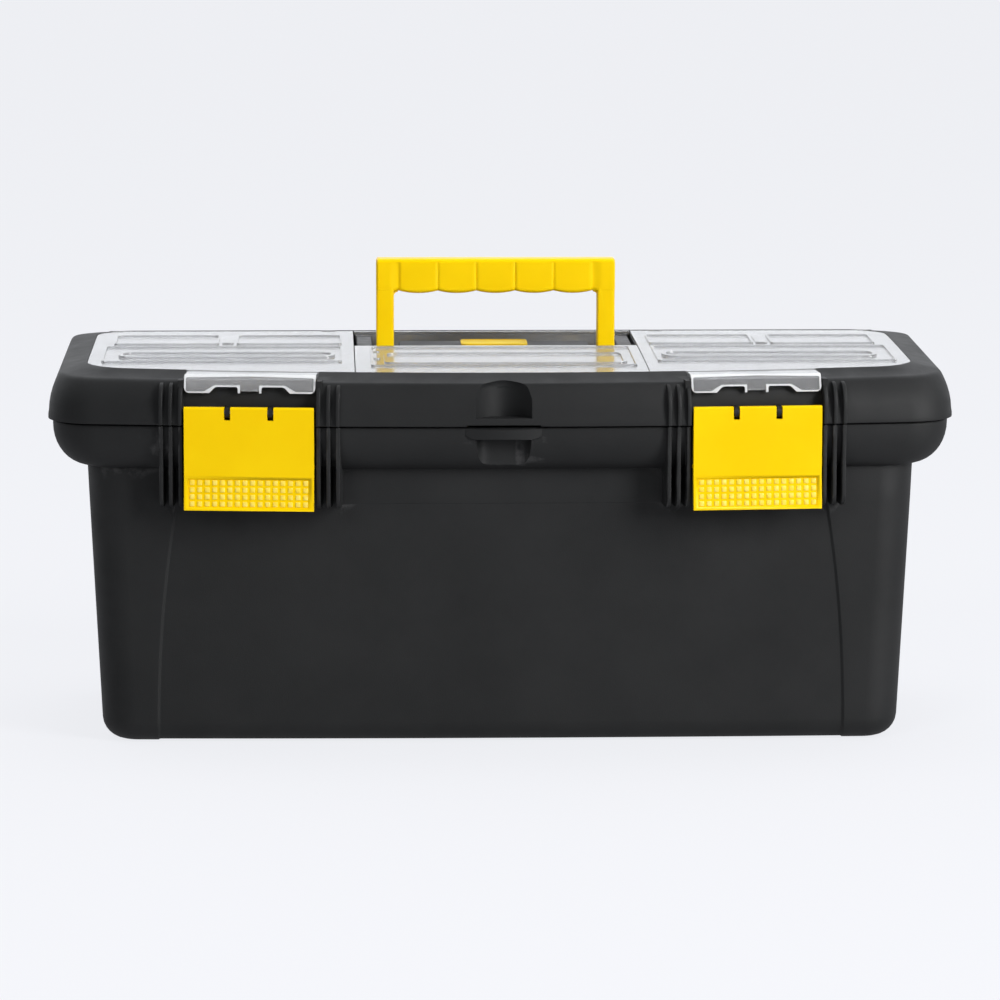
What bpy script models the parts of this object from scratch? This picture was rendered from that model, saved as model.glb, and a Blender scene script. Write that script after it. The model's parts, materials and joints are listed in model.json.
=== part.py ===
"""Toolbox with a lift-out tray and organiser bins in its lid.

Metres, +Z up, front towards -Y, +X to the right of someone facing the front.  The origin is the centre
of the base.  A plan section is the outline of the box at one height: straight back, bowed front, round
corners.
"""

import math
from collections import namedtuple

import bmesh
import bpy
from mathutils import Matrix, Vector

Section = namedtuple("Section", "half front back bow radius")

# ---- driving dimensions -------------------------------------------------------------------------------
GAP = 0.0003  # between pieces that touch
WALL = 0.0026  # moulded wall of the tub and the lid

# Tub, from the floor up: base, top of the straight walls, flange under the lid.
BASE = Section(0.2190, 0.0948, 0.0865, 0.0035, 0.020)
BODY = Section(0.2265, 0.1041, 0.0950, 0.0100, 0.022)
FLANGE = Section(0.2450, 0.1210, 0.1100, 0.0200, 0.028)
BODY_TOP = 0.1530
PARTING = 0.1780
BASE_ROUND = 0.012
FOOT_DROP = 0.0010
FOOT_INNER_X = 0.1880
PILLAR_PROUD = 0.0012
PILLAR_TOP = 0.1340
PILLAR_LEAN = 0.0110
PILLAR_CURVE = 2.2
TUB_FLOOR = 0.0035
FLANGE_EDGE = 0.0025

# Lid, from the parting line up: lip, top edge, seat of the clear covers.
LIP = Section(0.2475, 0.1235, 0.1125, 0.0200, 0.030)
RIM = Section(0.2375, 0.1140, 0.1000, 0.0300, 0.024)
SEAT = Section(0.2283, 0.1045, 0.0905, 0.0260, 0.016)
LIP_TOP = 0.1828
LIP_PROUD = 0.0018
RIM_CREST = 0.2058
RIM_FALL = 0.0040
COVER_CREST = 0.2070
COVER_FALL = 0.0018
CREST_Y = 0.0545
CREST_REACH = 0.1700
CROWN_POWER = 2.6
CROWN_SHARES = (0.50, 0.78, 0.92, 1.0)
BLOCK_BOTTOM = 0.1720
BLOCK_TOP = 0.2025
BLOCK_INSET = 0.0020
BIN_FLOOR = 0.1745
BIN_INSET = 0.0045
SIDE_BIN_X = 0.0820
CENTRE_BIN_X = 0.0775
CENTRE_BIN_BACK = 0.0105
BIN_DIVIDER_X = (0.1285, 0.1765)
BIN_DIVIDER_HALF = 0.0007
BIN_DIVIDER_TOP = 0.2015

# Clear covers.
COVER_THICK = 0.0018
SEAM_X = 0.0800
CENTRE_COVER_BACK = 0.0145
SIDE_HINGE_Y = 0.0880
CENTRE_HINGE_Y = 0.0125
SIDE_COVER_BACK = 0.0890
SIDE_TROUGH_X = (0.0803, 0.2215)
SIDE_TROUGH_Y = (0.0858, 0.0903)
SIDE_TROUGH_FLOOR = 0.2042
CENTRE_TROUGH_HALF = 0.0797
CENTRE_TROUGH_Y = (0.0095, 0.0160)
CENTRE_TROUGH_FLOOR = 0.2038

# Handle and its recess.
HANDLE_Y = 0.0225
HANDLE_PIVOT_Z = 0.1955
HANDLE_TOP = 0.2558
GRIP_BOTTOM = 0.2363
HANDLE_HALF = 0.0674
LEG_WIDTH = 0.0100
LEG_DEPTH = 0.0090
GRIP_DEPTH = 0.0140
RECESS_BACK = 0.0850
RECESS_FLOOR = 0.1865
RECESS_SKIN = 0.0020
UNDERSIDE_INSET = 0.0025
BOSS_INNER_X = 0.0695
BOSS_OUTER_X = 0.0785
BOSS_TOP = 0.2045
BOSS_Y = (0.0155, 0.0800)
BOSS_ROOT = 0.1855
ISLAND_X = 0.0540
ISLAND_FRONT = 0.0300
ISLAND_BACK = 0.0615
HANDLE_PIN_RADIUS = 0.0018
BADGE_HALF = 0.0189
BADGE_Y = (0.0345, 0.0585)
BADGE_THICK = 0.0010

# Latches, in a frame on the lip's front face: x across, y into the box, z up.
LATCH_X = 0.1375
LATCH_HALF = 0.0352
LATCH_TOP = 0.1885
LATCH_BOTTOM = 0.1325
LATCH_FRONT = -0.0015
LATCH_THICK = 0.0024
LATCH_AXIS_Y = 0.0015
LATCH_AXIS_Z = 0.1855
LATCH_BARREL = 0.0030
LATCH_PIN_RADIUS = 0.0012
LATCH_PIN_HALF = 0.0350
LATCH_FLARE = 0.0016
SLOT_X = 0.0117
SLOT_HALF = 0.0014
SLOT_BOTTOM = 0.1817
BRACKET_HALF = 0.0011
POCKET_HALF = 0.0362
POCKET_DEPTH = 0.0070
FIN_OFFSETS = (0.0374, 0.0428, 0.0480)
FIN_HALF = 0.0010
FIN_ROOT_TUB = 0.0300
FIN_ROOT_LID = 0.0200
FIN_BOTTOM = 0.1330
FIN_TOP = 0.2000
BACKING_HALF = 0.0390
BACKING_FRONT = 0.0040
BACKING_BOTTOM = 0.1565
BACKING_BACK = 0.0140
BACKING_TOP = 0.2025
CATCH_POCKET_BOTTOM = 0.1480
CATCH_LEDGE_HALF = 0.0300
CATCH_LEDGE_Z = (0.1580, 0.1610)
TONGUE_HALF = 0.0355

# Lid hinge.
HINGE_Y = 0.1180
HINGE_X = 0.1500
HINGE_BARREL = 0.0055
HINGE_PIN_RADIUS = 0.0018
LID_KNUCKLE_HALF = 0.0035
TUB_KNUCKLE = (0.0038, 0.0120)
TUB_WEB = (245, 555)
TUB_WEB_Y = 0.1040
LID_WEB = (164, 470)
LID_WEB_Y = 0.1092
HINGE_PIN_HALF = 0.0122
HINGE_BORE_HALF = 0.0150
KNUCKLE_ROOM = 0.0124

# Thumb recess in the middle of the front.
THUMB_HALF = 0.0152
THUMB_DEPTH = 0.0062
THUMB_BACKING_HALF = 0.0185
TUB_BACKING_Y = -0.1122
TUB_BACKING_TURNS = (40, 52, 64, 76)
LID_BACKING_Y = (-0.1200, -0.1120)
LID_BACKING_TOP = 0.1995
TUB_SCOOP = (0.1450, 0.1685)
LID_SCOOP_TOP = 0.1988
CRESCENT_HALF = 0.0205
CRESCENT_PROUD = 0.0022
CRESCENT_Z = (0.1685, 0.1752)
CRESCENT_ROOT = -0.1170

# Tray.
TRAY_BASE = Section(0.2065, 0.0950, 0.0865, 0.0085, 0.018)
TRAY_TOP = Section(0.2135, 0.0975, 0.0890, 0.0100, 0.019)
TRAY_RIM = Section(0.2259, 0.1032, 0.0940, 0.0112, 0.022)
TRAY_FLOOR = 0.1150
TRAY_LEDGE = 0.1566
TRAY_WALL = 0.0020
TRAY_ROUND = 0.0040
TRAY_DIVIDER_X = 0.0705
TRAY_DIVIDER_HALF = 0.0008
TRAY_DIVIDER_Y = (-0.0900, 0.0825)
TRAY_DIVIDER_TOP = 0.1540
GRIP_WALL_HALF = 0.0012
GRIP_WALL_TOP = 0.1560
HAND_HOLE_HALF = 0.0450
HAND_HOLE_Z = (0.1330, 0.1480)

# How finely curves are cut, and how far the cutters reach past the box.
CORNER_STEPS = 5
FRONT_CELLS = 11
SIDES = 20
SCOOP_SIDES = 48
FAR_X = 0.30
FAR_Y = 0.20
FAR_Z = 0.23
STEP_HALF = 0.0004
LEAST_RADIUS = 0.0040


# ---- scene, materials and helpers ---------------------------------------------------------------------
def clear_scene():
    for old in list(bpy.data.objects):
        bpy.data.objects.remove(old, do_unlink=True)


def new_collection(name):
    collection = bpy.data.collections.new(name)
    bpy.context.scene.collection.children.link(collection)
    return collection


def plastic(name, colour, roughness, metallic=0.0, alpha=1.0):
    material = bpy.data.materials.new(name)
    material.use_nodes = True
    shader = material.node_tree.nodes["Principled BSDF"]
    shader.inputs["Base Color"].default_value = (*colour, 1.0)
    shader.inputs["Roughness"].default_value = roughness
    shader.inputs["Metallic"].default_value = metallic
    shader.inputs["Alpha"].default_value = alpha
    return material


class Pivot:
    """An empty on a joint's axis, with its place in the world."""

    def __init__(self, name, point, parent=None):
        self.place = Vector(point)
        self.empty = bpy.data.objects.new(name, None)
        self.empty.empty_display_size = 0.02
        self.empty.location = self.place - (parent.place if parent else Vector())
        self.empty.parent = parent.empty if parent else None
        PARTS.objects.link(self.empty)


def part(name, data, material, pivot=None):
    """A sub-part modelled in place; its parent empty stands on the axis that it turns about."""
    body = bpy.data.objects.new(name, data)
    body.data.materials.append(material)
    PARTS.objects.link(body)
    if pivot:
        body.parent = pivot.empty
        body.location = -pivot.place
    return body


def mesh_from(name, solid):
    bmesh.ops.recalc_face_normals(solid, faces=solid.faces)
    data = bpy.data.meshes.new(name)
    solid.to_mesh(data)
    solid.free()
    data.shade_smooth()
    data.set_sharp_from_angle(angle=math.radians(32))
    return data


def boolean(target, name, solid, operation="DIFFERENCE"):
    """Cuts a solid out of the target, or joins it on."""
    tool = bpy.data.objects.new(name, mesh_from(name, solid))
    CUTTERS.objects.link(tool)
    tool.hide_render = True
    tool.display_type = "WIRE"
    modifier = target.modifiers.new(name, "BOOLEAN")
    modifier.operation = operation
    modifier.solver = "EXACT"
    modifier.object = tool


def join(target, name, solid):
    boolean(target, name, solid, "UNION")


# ---- plan sections ------------------------------------------------------------------------------------
def inset(section, amount):
    """The same outline moved inwards by one amount all round."""
    half, front, back, bow, radius = section
    return Section(half - amount, front - amount, back - amount, bow, max(radius - amount, LEAST_RADIUS))


def blend(first, second, share):
    return Section(*(a + (b - a) * share for a, b in zip(first, second)))


def front_line(section, x):
    return -section.front + section.bow * (x / section.half) ** 2


def front_stations(tip, fixed=()):
    even = [-tip + 2 * tip * i / FRONT_CELLS for i in range(FRONT_CELLS + 1)]
    return sorted(even + list(fixed))


def arc(centre_x, centre_y, radius, start, end):
    turns = [start + (end - start) * i / CORNER_STEPS for i in range(CORNER_STEPS + 1)]
    return [(centre_x + radius * math.cos(a), centre_y + radius * math.sin(a)) for a in turns]


def plan_ring(section, height, step_x=None, step_out=0.0):
    """Points round a section, from the left of the front; height is a number or a function of y."""
    half, radius = section.half, section.radius
    lean = math.atan(2 * section.bow * (half - radius) / half**2)
    tip = half - radius * (1 - math.sin(lean))
    fixed = ()
    if step_x:
        fixed = tuple(edge + step for edge in (-step_x, step_x) for step in (-STEP_HALF, STEP_HALF))
    front = []
    for x in front_stations(tip, fixed):
        proud = step_out if step_x and abs(x) > step_x else 0.0
        front.append((x, front_line(section, x) - proud))
    corner_y = front_line(section, tip) + radius * math.cos(lean) - step_out
    right = math.pi / 2
    points = front
    points += arc(half - radius, corner_y, radius, lean - right, 0)[1:]
    points += arc(half - radius, section.back - radius, radius, 0, right)
    points += arc(radius - half, section.back - radius, radius, right, 2 * right)
    points += arc(radius - half, corner_y, radius, 2 * right, 3 * right - lean)[:-1]
    level = height if callable(height) else lambda y: height
    return [(x, y, level(y)) for x, y in points]


def loft(rings):
    """A closed solid through rings with equal numbers of points, flat at both ends."""
    solid = bmesh.new()
    loops = [[solid.verts.new(point) for point in ring] for ring in rings]
    for lower, upper in zip(loops, loops[1:]):
        for i, vertex in enumerate(lower):
            j = (i + 1) % len(lower)
            solid.faces.new((vertex, lower[j], upper[j], upper[i]))
    solid.faces.new(reversed(loops[0]))
    solid.faces.new(loops[-1])
    return solid


def plan_edges(section, x):
    """Front and back of a section at one x, with its round corners."""
    over = abs(x) - (section.half - section.radius)
    drop = section.radius - math.sqrt(max(section.radius**2 - over**2, 0)) if over > 0 else 0.0
    return front_line(section, x) + drop, section.back - drop


def slab(section, left, right, low, high, back=None, rows=4):
    """Part of a section between two x values as a closed sheet; low and high give its faces over y."""
    corner = section.half - section.radius
    marks = [corner + section.radius * math.sin(math.radians(a)) for a in (0, 22, 42, 60, 75, 90)]
    spread = [-corner + 2 * corner * i / 10 for i in range(1, 10)]
    stations = [left, right] + [x for x in marks + [-m for m in marks] + spread if left < x < right]
    solid = bmesh.new()
    top, bottom = [], []
    for x in sorted(stations):
        front_y, back_y = plan_edges(section, x)
        back_y = back_y if back is None else min(back, back_y)
        ys = [front_y + (back_y - front_y) * i / rows for i in range(rows + 1)]
        top.append([solid.verts.new((x, y, high(y))) for y in ys])
        bottom.append([solid.verts.new((x, y, low(y))) for y in ys])
    for grid, other in zip(zip(top, top[1:]), zip(bottom, bottom[1:])):
        for near, far in (grid, other):
            for i in range(rows):
                solid.faces.new((near[i], far[i], far[i + 1], near[i + 1]))
        for i in (0, rows):
            solid.faces.new((grid[0][i], grid[1][i], other[1][i], other[0][i]))
    for end in (0, -1):
        for i in range(rows):
            solid.faces.new((top[end][i], top[end][i + 1], bottom[end][i + 1], bottom[end][i]))
    return solid


def flat(height):
    return lambda y: height


# ---- simple solids ------------------------------------------------------------------------------------
def box(solid, low, high, frame=None):
    low, high = Vector(low), Vector(high)
    place = Matrix.LocRotScale((low + high) / 2, None, high - low)
    bmesh.ops.create_cube(solid, size=1.0, matrix=(frame or Matrix()) @ place)
    return solid


def rod(solid, radius, left, right, y, z, frame=None, sides=SIDES):
    """A cylinder along X."""
    centre = Matrix.Translation(((left + right) / 2, y, z)) @ Matrix.Rotation(math.radians(90), 4, "Y")
    bmesh.ops.create_cone(
        solid, cap_ends=True, segments=sides, radius1=radius, radius2=radius, depth=right - left,
        matrix=(frame or Matrix()) @ centre,
    )
    return solid


def profile_bar(solid, outline, left, right, frame=None):
    """A (y, z) outline drawn out along X."""
    frame = frame or Matrix()
    face = solid.faces.new([solid.verts.new(frame @ Vector((left, y, z))) for y, z in outline])
    moved = bmesh.ops.extrude_face_region(solid, geom=[face])["geom"]
    ends = [item for item in moved if isinstance(item, bmesh.types.BMVert)]
    along = frame.to_3x3() @ Vector((right - left, 0, 0))
    bmesh.ops.translate(solid, verts=ends, vec=along)
    return solid


def upright(solid, outline, low, high):
    """An (x, y) outline drawn out along Z."""
    face = solid.faces.new([solid.verts.new((x, y, low)) for x, y in outline])
    moved = bmesh.ops.extrude_face_region(solid, geom=[face])["geom"]
    ends = [item for item in moved if isinstance(item, bmesh.types.BMVert)]
    bmesh.ops.translate(solid, verts=ends, vec=(0, 0, high - low))
    return solid


def latch_frame(side):
    """The latch's place on the lip's bowed front, side -1 for the left one and 1 for the right one."""
    lean = math.atan(2 * LIP.bow * LATCH_X / LIP.half**2)
    place = Matrix.Translation((side * LATCH_X, front_line(LIP, LATCH_X), 0))
    return place @ Matrix.Rotation(side * lean, 4, "Z")


def on_latches(draw):
    """One solid with the same shape drawn at both latches."""
    solid = bmesh.new()
    for side in (-1, 1):
        draw(solid, latch_frame(side))
    return solid


def rim_height(y):
    return RIM_CREST - RIM_FALL * ((CREST_Y - y) / CREST_REACH) ** 2


def cover_height(y):
    return COVER_CREST - COVER_FALL * ((CREST_Y - y) / CREST_REACH) ** 2


def seat_height(y):
    return cover_height(y) - COVER_THICK - GAP


clear_scene()
PARTS = new_collection("toolbox_with_tray")
CUTTERS = new_collection("cutters")
BLACK = plastic("black_plastic", (0.018, 0.019, 0.020), 0.45)
YELLOW = plastic("yellow_plastic", (0.95, 0.72, 0.0), 0.35)
CLEAR = plastic("clear_plastic", (0.80, 0.82, 0.84), 0.25, alpha=0.6)
GREY = plastic("tray_plastic", (0.10, 0.10, 0.11), 0.5)
STEEL = plastic("steel_pin", (0.60, 0.60, 0.62), 0.3, metallic=1.0)


# ---- tub ----------------------------------------------------------------------------------------------
def tub_section(height):
    return blend(BASE, BODY, height / BODY_TOP)


def pillar_step(height):
    """Where the corner pillars end along the front, and how far they stand out."""
    line = FOOT_INNER_X - PILLAR_LEAN * min(height / PILLAR_TOP, 1.0) ** PILLAR_CURVE
    fade = min(max((BODY_TOP - height) / (BODY_TOP - PILLAR_TOP), 0.0), 1.0)
    return line, PILLAR_PROUD * fade


def tub_outside():
    rings = []
    for angle in (0, 30, 60, 90):
        turn = math.radians(angle)
        height = BASE_ROUND * (1 - math.cos(turn))
        section = inset(tub_section(height), BASE_ROUND * (1 - math.sin(turn)))
        rings.append(plan_ring(section, height, *pillar_step(height)))
    for height in (0.045, 0.080, 0.110, PILLAR_TOP, BODY_TOP):
        rings.append(plan_ring(tub_section(height), height, *pillar_step(height)))
    flare_height = PARTING - FLANGE_EDGE - BODY_TOP
    for angle in (22.5, 45, 67.5, 90):
        turn = math.radians(angle)
        section = blend(BODY, FLANGE, math.sin(turn))
        height = BODY_TOP + flare_height * (1 - math.cos(turn))
        rings.append(plan_ring(section, height, *pillar_step(BODY_TOP)))
    rings.append(plan_ring(FLANGE, PARTING, *pillar_step(BODY_TOP)))
    return loft(rings)


def tub_inside():
    rings = []
    for height, extra in ((TUB_FLOOR, 0.009), (0.006, 0.003), (0.012, 0.0), (BODY_TOP + WALL, 0.0)):
        rings.append(plan_ring(inset(tub_section(height), WALL + extra), height))
    body = inset(tub_section(BODY_TOP + WALL), WALL)
    flange = inset(FLANGE, WALL)
    flare_height = PARTING - BODY_TOP - WALL
    for angle in (30, 60, 82):
        turn = math.radians(angle)
        height = BODY_TOP + WALL + flare_height * (1 - math.cos(turn))
        rings.append(plan_ring(blend(body, flange, math.sin(turn)), height))
    rings.append(plan_ring(flange, PARTING + 0.01))
    return loft(rings)


def tub_fins(solid, frame):
    outline = (
        (FIN_ROOT_TUB, FIN_BOTTOM), (FIN_ROOT_TUB, PARTING - GAP), (0.0008, PARTING - GAP),
        (0.0008, 0.1395), (0.0026, 0.1352), (0.0065, FIN_BOTTOM),
    )
    for offset in FIN_OFFSETS:
        for centre in (-offset, offset):
            profile_bar(solid, outline, centre - FIN_HALF, centre + FIN_HALF, frame)


def catch_backing(solid, frame):
    low = (-BACKING_HALF, BACKING_FRONT, BACKING_BOTTOM)
    box(solid, low, (BACKING_HALF, POCKET_DEPTH + WALL + 0.0001, PARTING - GAP), frame)


def catch_pocket(solid, frame):
    low = (-POCKET_HALF, -0.0200, CATCH_POCKET_BOTTOM)
    box(solid, low, (POCKET_HALF, POCKET_DEPTH, PARTING + 0.01), frame)


def catch_ledge(solid, frame):
    bottom, top = CATCH_LEDGE_Z
    low = (-CATCH_LEDGE_HALF, 0.0030, bottom)
    box(solid, low, (CATCH_LEDGE_HALF, POCKET_DEPTH + 0.0015, top), frame)


def thumb_scoop(low, high):
    """A vertical cylinder that hollows the front by the thumb depth."""
    reach = (THUMB_HALF**2 + THUMB_DEPTH**2) / (2 * THUMB_DEPTH)
    solid = bmesh.new()
    centre_y = -FLANGE.front - reach + THUMB_DEPTH
    place = Matrix.Translation((0, centre_y, (low + high) / 2))
    bmesh.ops.create_cone(
        solid, cap_ends=True, segments=SCOOP_SIDES, radius1=reach, radius2=reach, depth=high - low,
        matrix=place,
    )
    return solid


def tub_thumb_backing():
    """Thickens the flare from within, behind the thumb recess."""
    outline = []
    for angle in TUB_BACKING_TURNS:
        turn = math.radians(angle)
        height = BODY_TOP + (PARTING - FLANGE_EDGE - BODY_TOP) * (1 - math.cos(turn))
        outline.append((WALL / 2 - blend(BODY, FLANGE, math.sin(turn)).front, height))
    outline += [(TUB_BACKING_Y, outline[-1][1]), (TUB_BACKING_Y, outline[0][1])]
    return profile_bar(bmesh.new(), outline, -THUMB_BACKING_HALF, THUMB_BACKING_HALF)


def crescent():
    """The thin ledge over the tub's thumb recess, bowed forward to the lid's lip."""
    half, steps = CRESCENT_HALF, 8
    xs = [-half + 2 * half * i / steps for i in range(steps + 1)]
    rim = [(x, -FLANGE.front - CRESCENT_PROUD * (1 - (x / half) ** 2)) for x in xs]
    outline = rim + [(half, CRESCENT_ROOT), (-half, CRESCENT_ROOT)]
    return upright(bmesh.new(), outline, *CRESCENT_Z)


def knuckle(solid, near, far, web_angles, wall_y):
    """A hinge barrel with a web to its wall, at both stations; the web leaves it between two angles."""
    start, end = web_angles
    steps = 18
    turns = [math.radians(start + (end - start) * i / steps) for i in range(steps + 1)]
    reach = HINGE_BARREL
    outline = [(HINGE_Y + reach * math.cos(a), PARTING + reach * math.sin(a)) for a in turns]
    outline += [(wall_y, outline[-1][1]), (wall_y, outline[0][1])]
    for station in (-HINGE_X, HINGE_X):
        profile_bar(solid, outline, station + near, station + far)


def hinge_holes():
    holes = bmesh.new()
    for station in (-HINGE_X, HINGE_X):
        left, right = station - HINGE_BORE_HALF, station + HINGE_BORE_HALF
        rod(holes, HINGE_PIN_RADIUS + GAP, left, right, HINGE_Y, PARTING)
    return holes


def build_tub():
    tub = part("tub_shell", mesh_from("tub_shell", tub_outside()), BLACK)
    near, far = TUB_KNUCKLE
    barrels = bmesh.new()
    knuckle(barrels, -far, -near, TUB_WEB, TUB_WEB_Y)
    knuckle(barrels, near, far, TUB_WEB, TUB_WEB_Y)
    join(tub, "tub_hinge_barrels", barrels)
    join(tub, "tub_fins", on_latches(tub_fins))
    join(tub, "crescent_ledge", crescent())
    boolean(tub, "tub_inside", tub_inside())
    join(tub, "catch_backing", on_latches(catch_backing))
    join(tub, "thumb_backing", tub_thumb_backing())
    boolean(tub, "catch_pocket", on_latches(catch_pocket))
    join(tub, "catch_ledge", on_latches(catch_ledge))
    boolean(tub, "tub_thumb_scoop", thumb_scoop(*TUB_SCOOP))
    above = box(bmesh.new(), (-FAR_X, -FAR_Y, PARTING - GAP), (FAR_X, 0.1120, FAR_Z))
    boolean(tub, "tub_top_face", above)
    boolean(tub, "tub_hinge_holes", hinge_holes())
    relief_x = FOOT_INNER_X + 0.0002
    relief = box(bmesh.new(), (-relief_x, -FAR_Y, -FOOT_DROP), (relief_x, FAR_Y, FOOT_DROP))
    boolean(tub, "base_relief", relief)


# ---- tray ---------------------------------------------------------------------------------------------
def build_tray(lift):
    rings = [
        plan_ring(inset(TRAY_BASE, TRAY_ROUND), TRAY_FLOOR),
        plan_ring(TRAY_BASE, TRAY_FLOOR + TRAY_ROUND),
        plan_ring(TRAY_TOP, TRAY_LEDGE),
        plan_ring(TRAY_RIM, TRAY_LEDGE),
        plan_ring(TRAY_RIM, TRAY_LEDGE + TRAY_WALL),
        plan_ring(inset(TRAY_TOP, TRAY_WALL), TRAY_LEDGE + TRAY_WALL),
        plan_ring(inset(TRAY_BASE, TRAY_WALL), TRAY_FLOOR + 0.006),
        plan_ring(inset(TRAY_BASE, TRAY_WALL + 0.003), TRAY_FLOOR + TRAY_WALL),
    ]
    part("tray_body", mesh_from("tray_body", loft(rings)), GREY, lift)
    low = TRAY_FLOOR + TRAY_WALL + GAP
    wall_end = TRAY_DIVIDER_X - TRAY_DIVIDER_HALF - GAP
    half = GRIP_WALL_HALF
    spine = box(bmesh.new(), (-wall_end, -half, low), (wall_end, half, GRIP_WALL_TOP))
    grip_wall = part("tray_grip_wall", mesh_from("tray_grip_wall", spine), GREY, lift)
    bottom, top = HAND_HOLE_Z
    hole = box(bmesh.new(), (-HAND_HOLE_HALF, -0.01, bottom), (HAND_HOLE_HALF, 0.01, top))
    boolean(grip_wall, "tray_hand_hole", hole)
    front, back = TRAY_DIVIDER_Y
    outline = (
        (front + 0.003, low), (back - 0.003, low),
        (back + 0.002, TRAY_DIVIDER_TOP), (front - 0.002, TRAY_DIVIDER_TOP),
    )
    for name, x in (("tray_divider_left", -TRAY_DIVIDER_X), ("tray_divider_right", TRAY_DIVIDER_X)):
        solid = profile_bar(bmesh.new(), outline, x - TRAY_DIVIDER_HALF, x + TRAY_DIVIDER_HALF)
        part(name, mesh_from(name, solid), GREY, lift)


# ---- lid ----------------------------------------------------------------------------------------------
def lid_outside():
    rings = [plan_ring(LIP, PARTING), plan_ring(LIP, LIP_TOP)]
    wall = inset(LIP, LIP_PROUD)
    base = LIP_TOP + 0.0004
    rings.append(plan_ring(wall, base))
    for share in CROWN_SHARES:
        turn_in = 1 - (1 - share**CROWN_POWER) ** (1 / CROWN_POWER)
        section = blend(wall, RIM, turn_in)
        rings.append(plan_ring(section, lambda y, s=share: base + s * (rim_height(y) - base)))
    rings.append(plan_ring(inset(SEAT, 0.003), lambda y: cover_height(y) + 0.0002))
    return loft(rings)


def lid_inside():
    wall = inset(LIP, LIP_PROUD + WALL)
    steps = ((0.1600, 0.0), (0.1900, 0.0008), (0.1965, 0.0035), (0.1990, 0.0075))
    return loft([plan_ring(inset(wall, amount), height) for height, amount in steps])


def lid_fins(solid, frame):
    outline = (
        (FIN_ROOT_LID, PARTING + GAP), (0.0002, PARTING + GAP), (0.0002, 0.1850), (0.0032, 0.1955),
        (0.0085, FIN_TOP), (FIN_ROOT_LID, FIN_TOP),
    )
    for offset in FIN_OFFSETS:
        for centre in (-offset, offset):
            profile_bar(solid, outline, centre - FIN_HALF, centre + FIN_HALF, frame)


def latch_backing(solid, frame):
    low = (-BACKING_HALF, BACKING_FRONT, PARTING + GAP)
    box(solid, low, (BACKING_HALF, BACKING_BACK, BACKING_TOP), frame)


def latch_pocket(solid, frame):
    outline = (
        (-0.02, 0.1700), (POCKET_DEPTH, 0.1700), (POCKET_DEPTH, 0.1945), (0.0112, 0.2010),
        (0.0112, 0.2031), (0.0260, 0.2031), (0.0260, FAR_Z), (-0.02, FAR_Z),
    )
    profile_bar(solid, outline, -POCKET_HALF, POCKET_HALF, frame)


def latch_brackets(solid, frame):
    """Two round-nosed arms that reach through the latch's slots and hold its pin."""
    turns = [math.radians(90 + 18 * i) for i in range(11)]
    reach = LATCH_BARREL
    nose = [(LATCH_AXIS_Y + reach * math.cos(a), LATCH_AXIS_Z + reach * math.sin(a)) for a in turns]
    root = POCKET_DEPTH + 0.0012
    outline = nose + [(root, nose[-1][1]), (root, nose[0][1])]
    for x in (-SLOT_X, SLOT_X):
        profile_bar(solid, outline, x - BRACKET_HALF, x + BRACKET_HALF, frame)


def latch_pin_holes(solid, frame):
    reach = SLOT_X + 0.004
    rod(solid, LATCH_PIN_RADIUS + GAP, -reach, reach, LATCH_AXIS_Y, LATCH_AXIS_Z, frame)


def organiser_bins():
    bins = bmesh.new()
    shape = inset(SEAT, BIN_INSET)
    spans = ((-shape.half, -SIDE_BIN_X, None), (SIDE_BIN_X, shape.half, None))
    spans += ((-CENTRE_BIN_X, CENTRE_BIN_X, CENTRE_BIN_BACK),)
    for left, right, back in spans:
        solid = slab(shape, left, right, flat(BIN_FLOOR), flat(FAR_Z), back, 1)
        data = bpy.data.meshes.new("bin")
        solid.to_mesh(data)
        solid.free()
        bins.from_mesh(data)
        bpy.data.meshes.remove(data)
    return bins


def recess_furniture():
    """The island inside the folded handle and the boss beside each of its legs."""
    low = (-ISLAND_X, ISLAND_FRONT, BOSS_ROOT)
    solid = box(bmesh.new(), low, (ISLAND_X, ISLAND_BACK, BOSS_TOP - GAP))
    front, back = BOSS_Y
    for side in (-1, 1):
        inner, outer = sorted((side * BOSS_INNER_X, side * BOSS_OUTER_X))
        box(solid, (inner, front, BOSS_ROOT), (outer, back, BOSS_TOP))
    return solid


def hinge_troughs():
    """Room for the covers' hinge edges to turn in."""
    front, back = CENTRE_TROUGH_Y
    half = CENTRE_TROUGH_HALF
    troughs = box(bmesh.new(), (-half, front, CENTRE_TROUGH_FLOOR), (half, back, FAR_Z))
    front, back = SIDE_TROUGH_Y
    for side in (-1, 1):
        left, right = sorted(side * x for x in SIDE_TROUGH_X)
        box(troughs, (left, front, SIDE_TROUGH_FLOOR), (right, back, FAR_Z))
    return troughs


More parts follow.
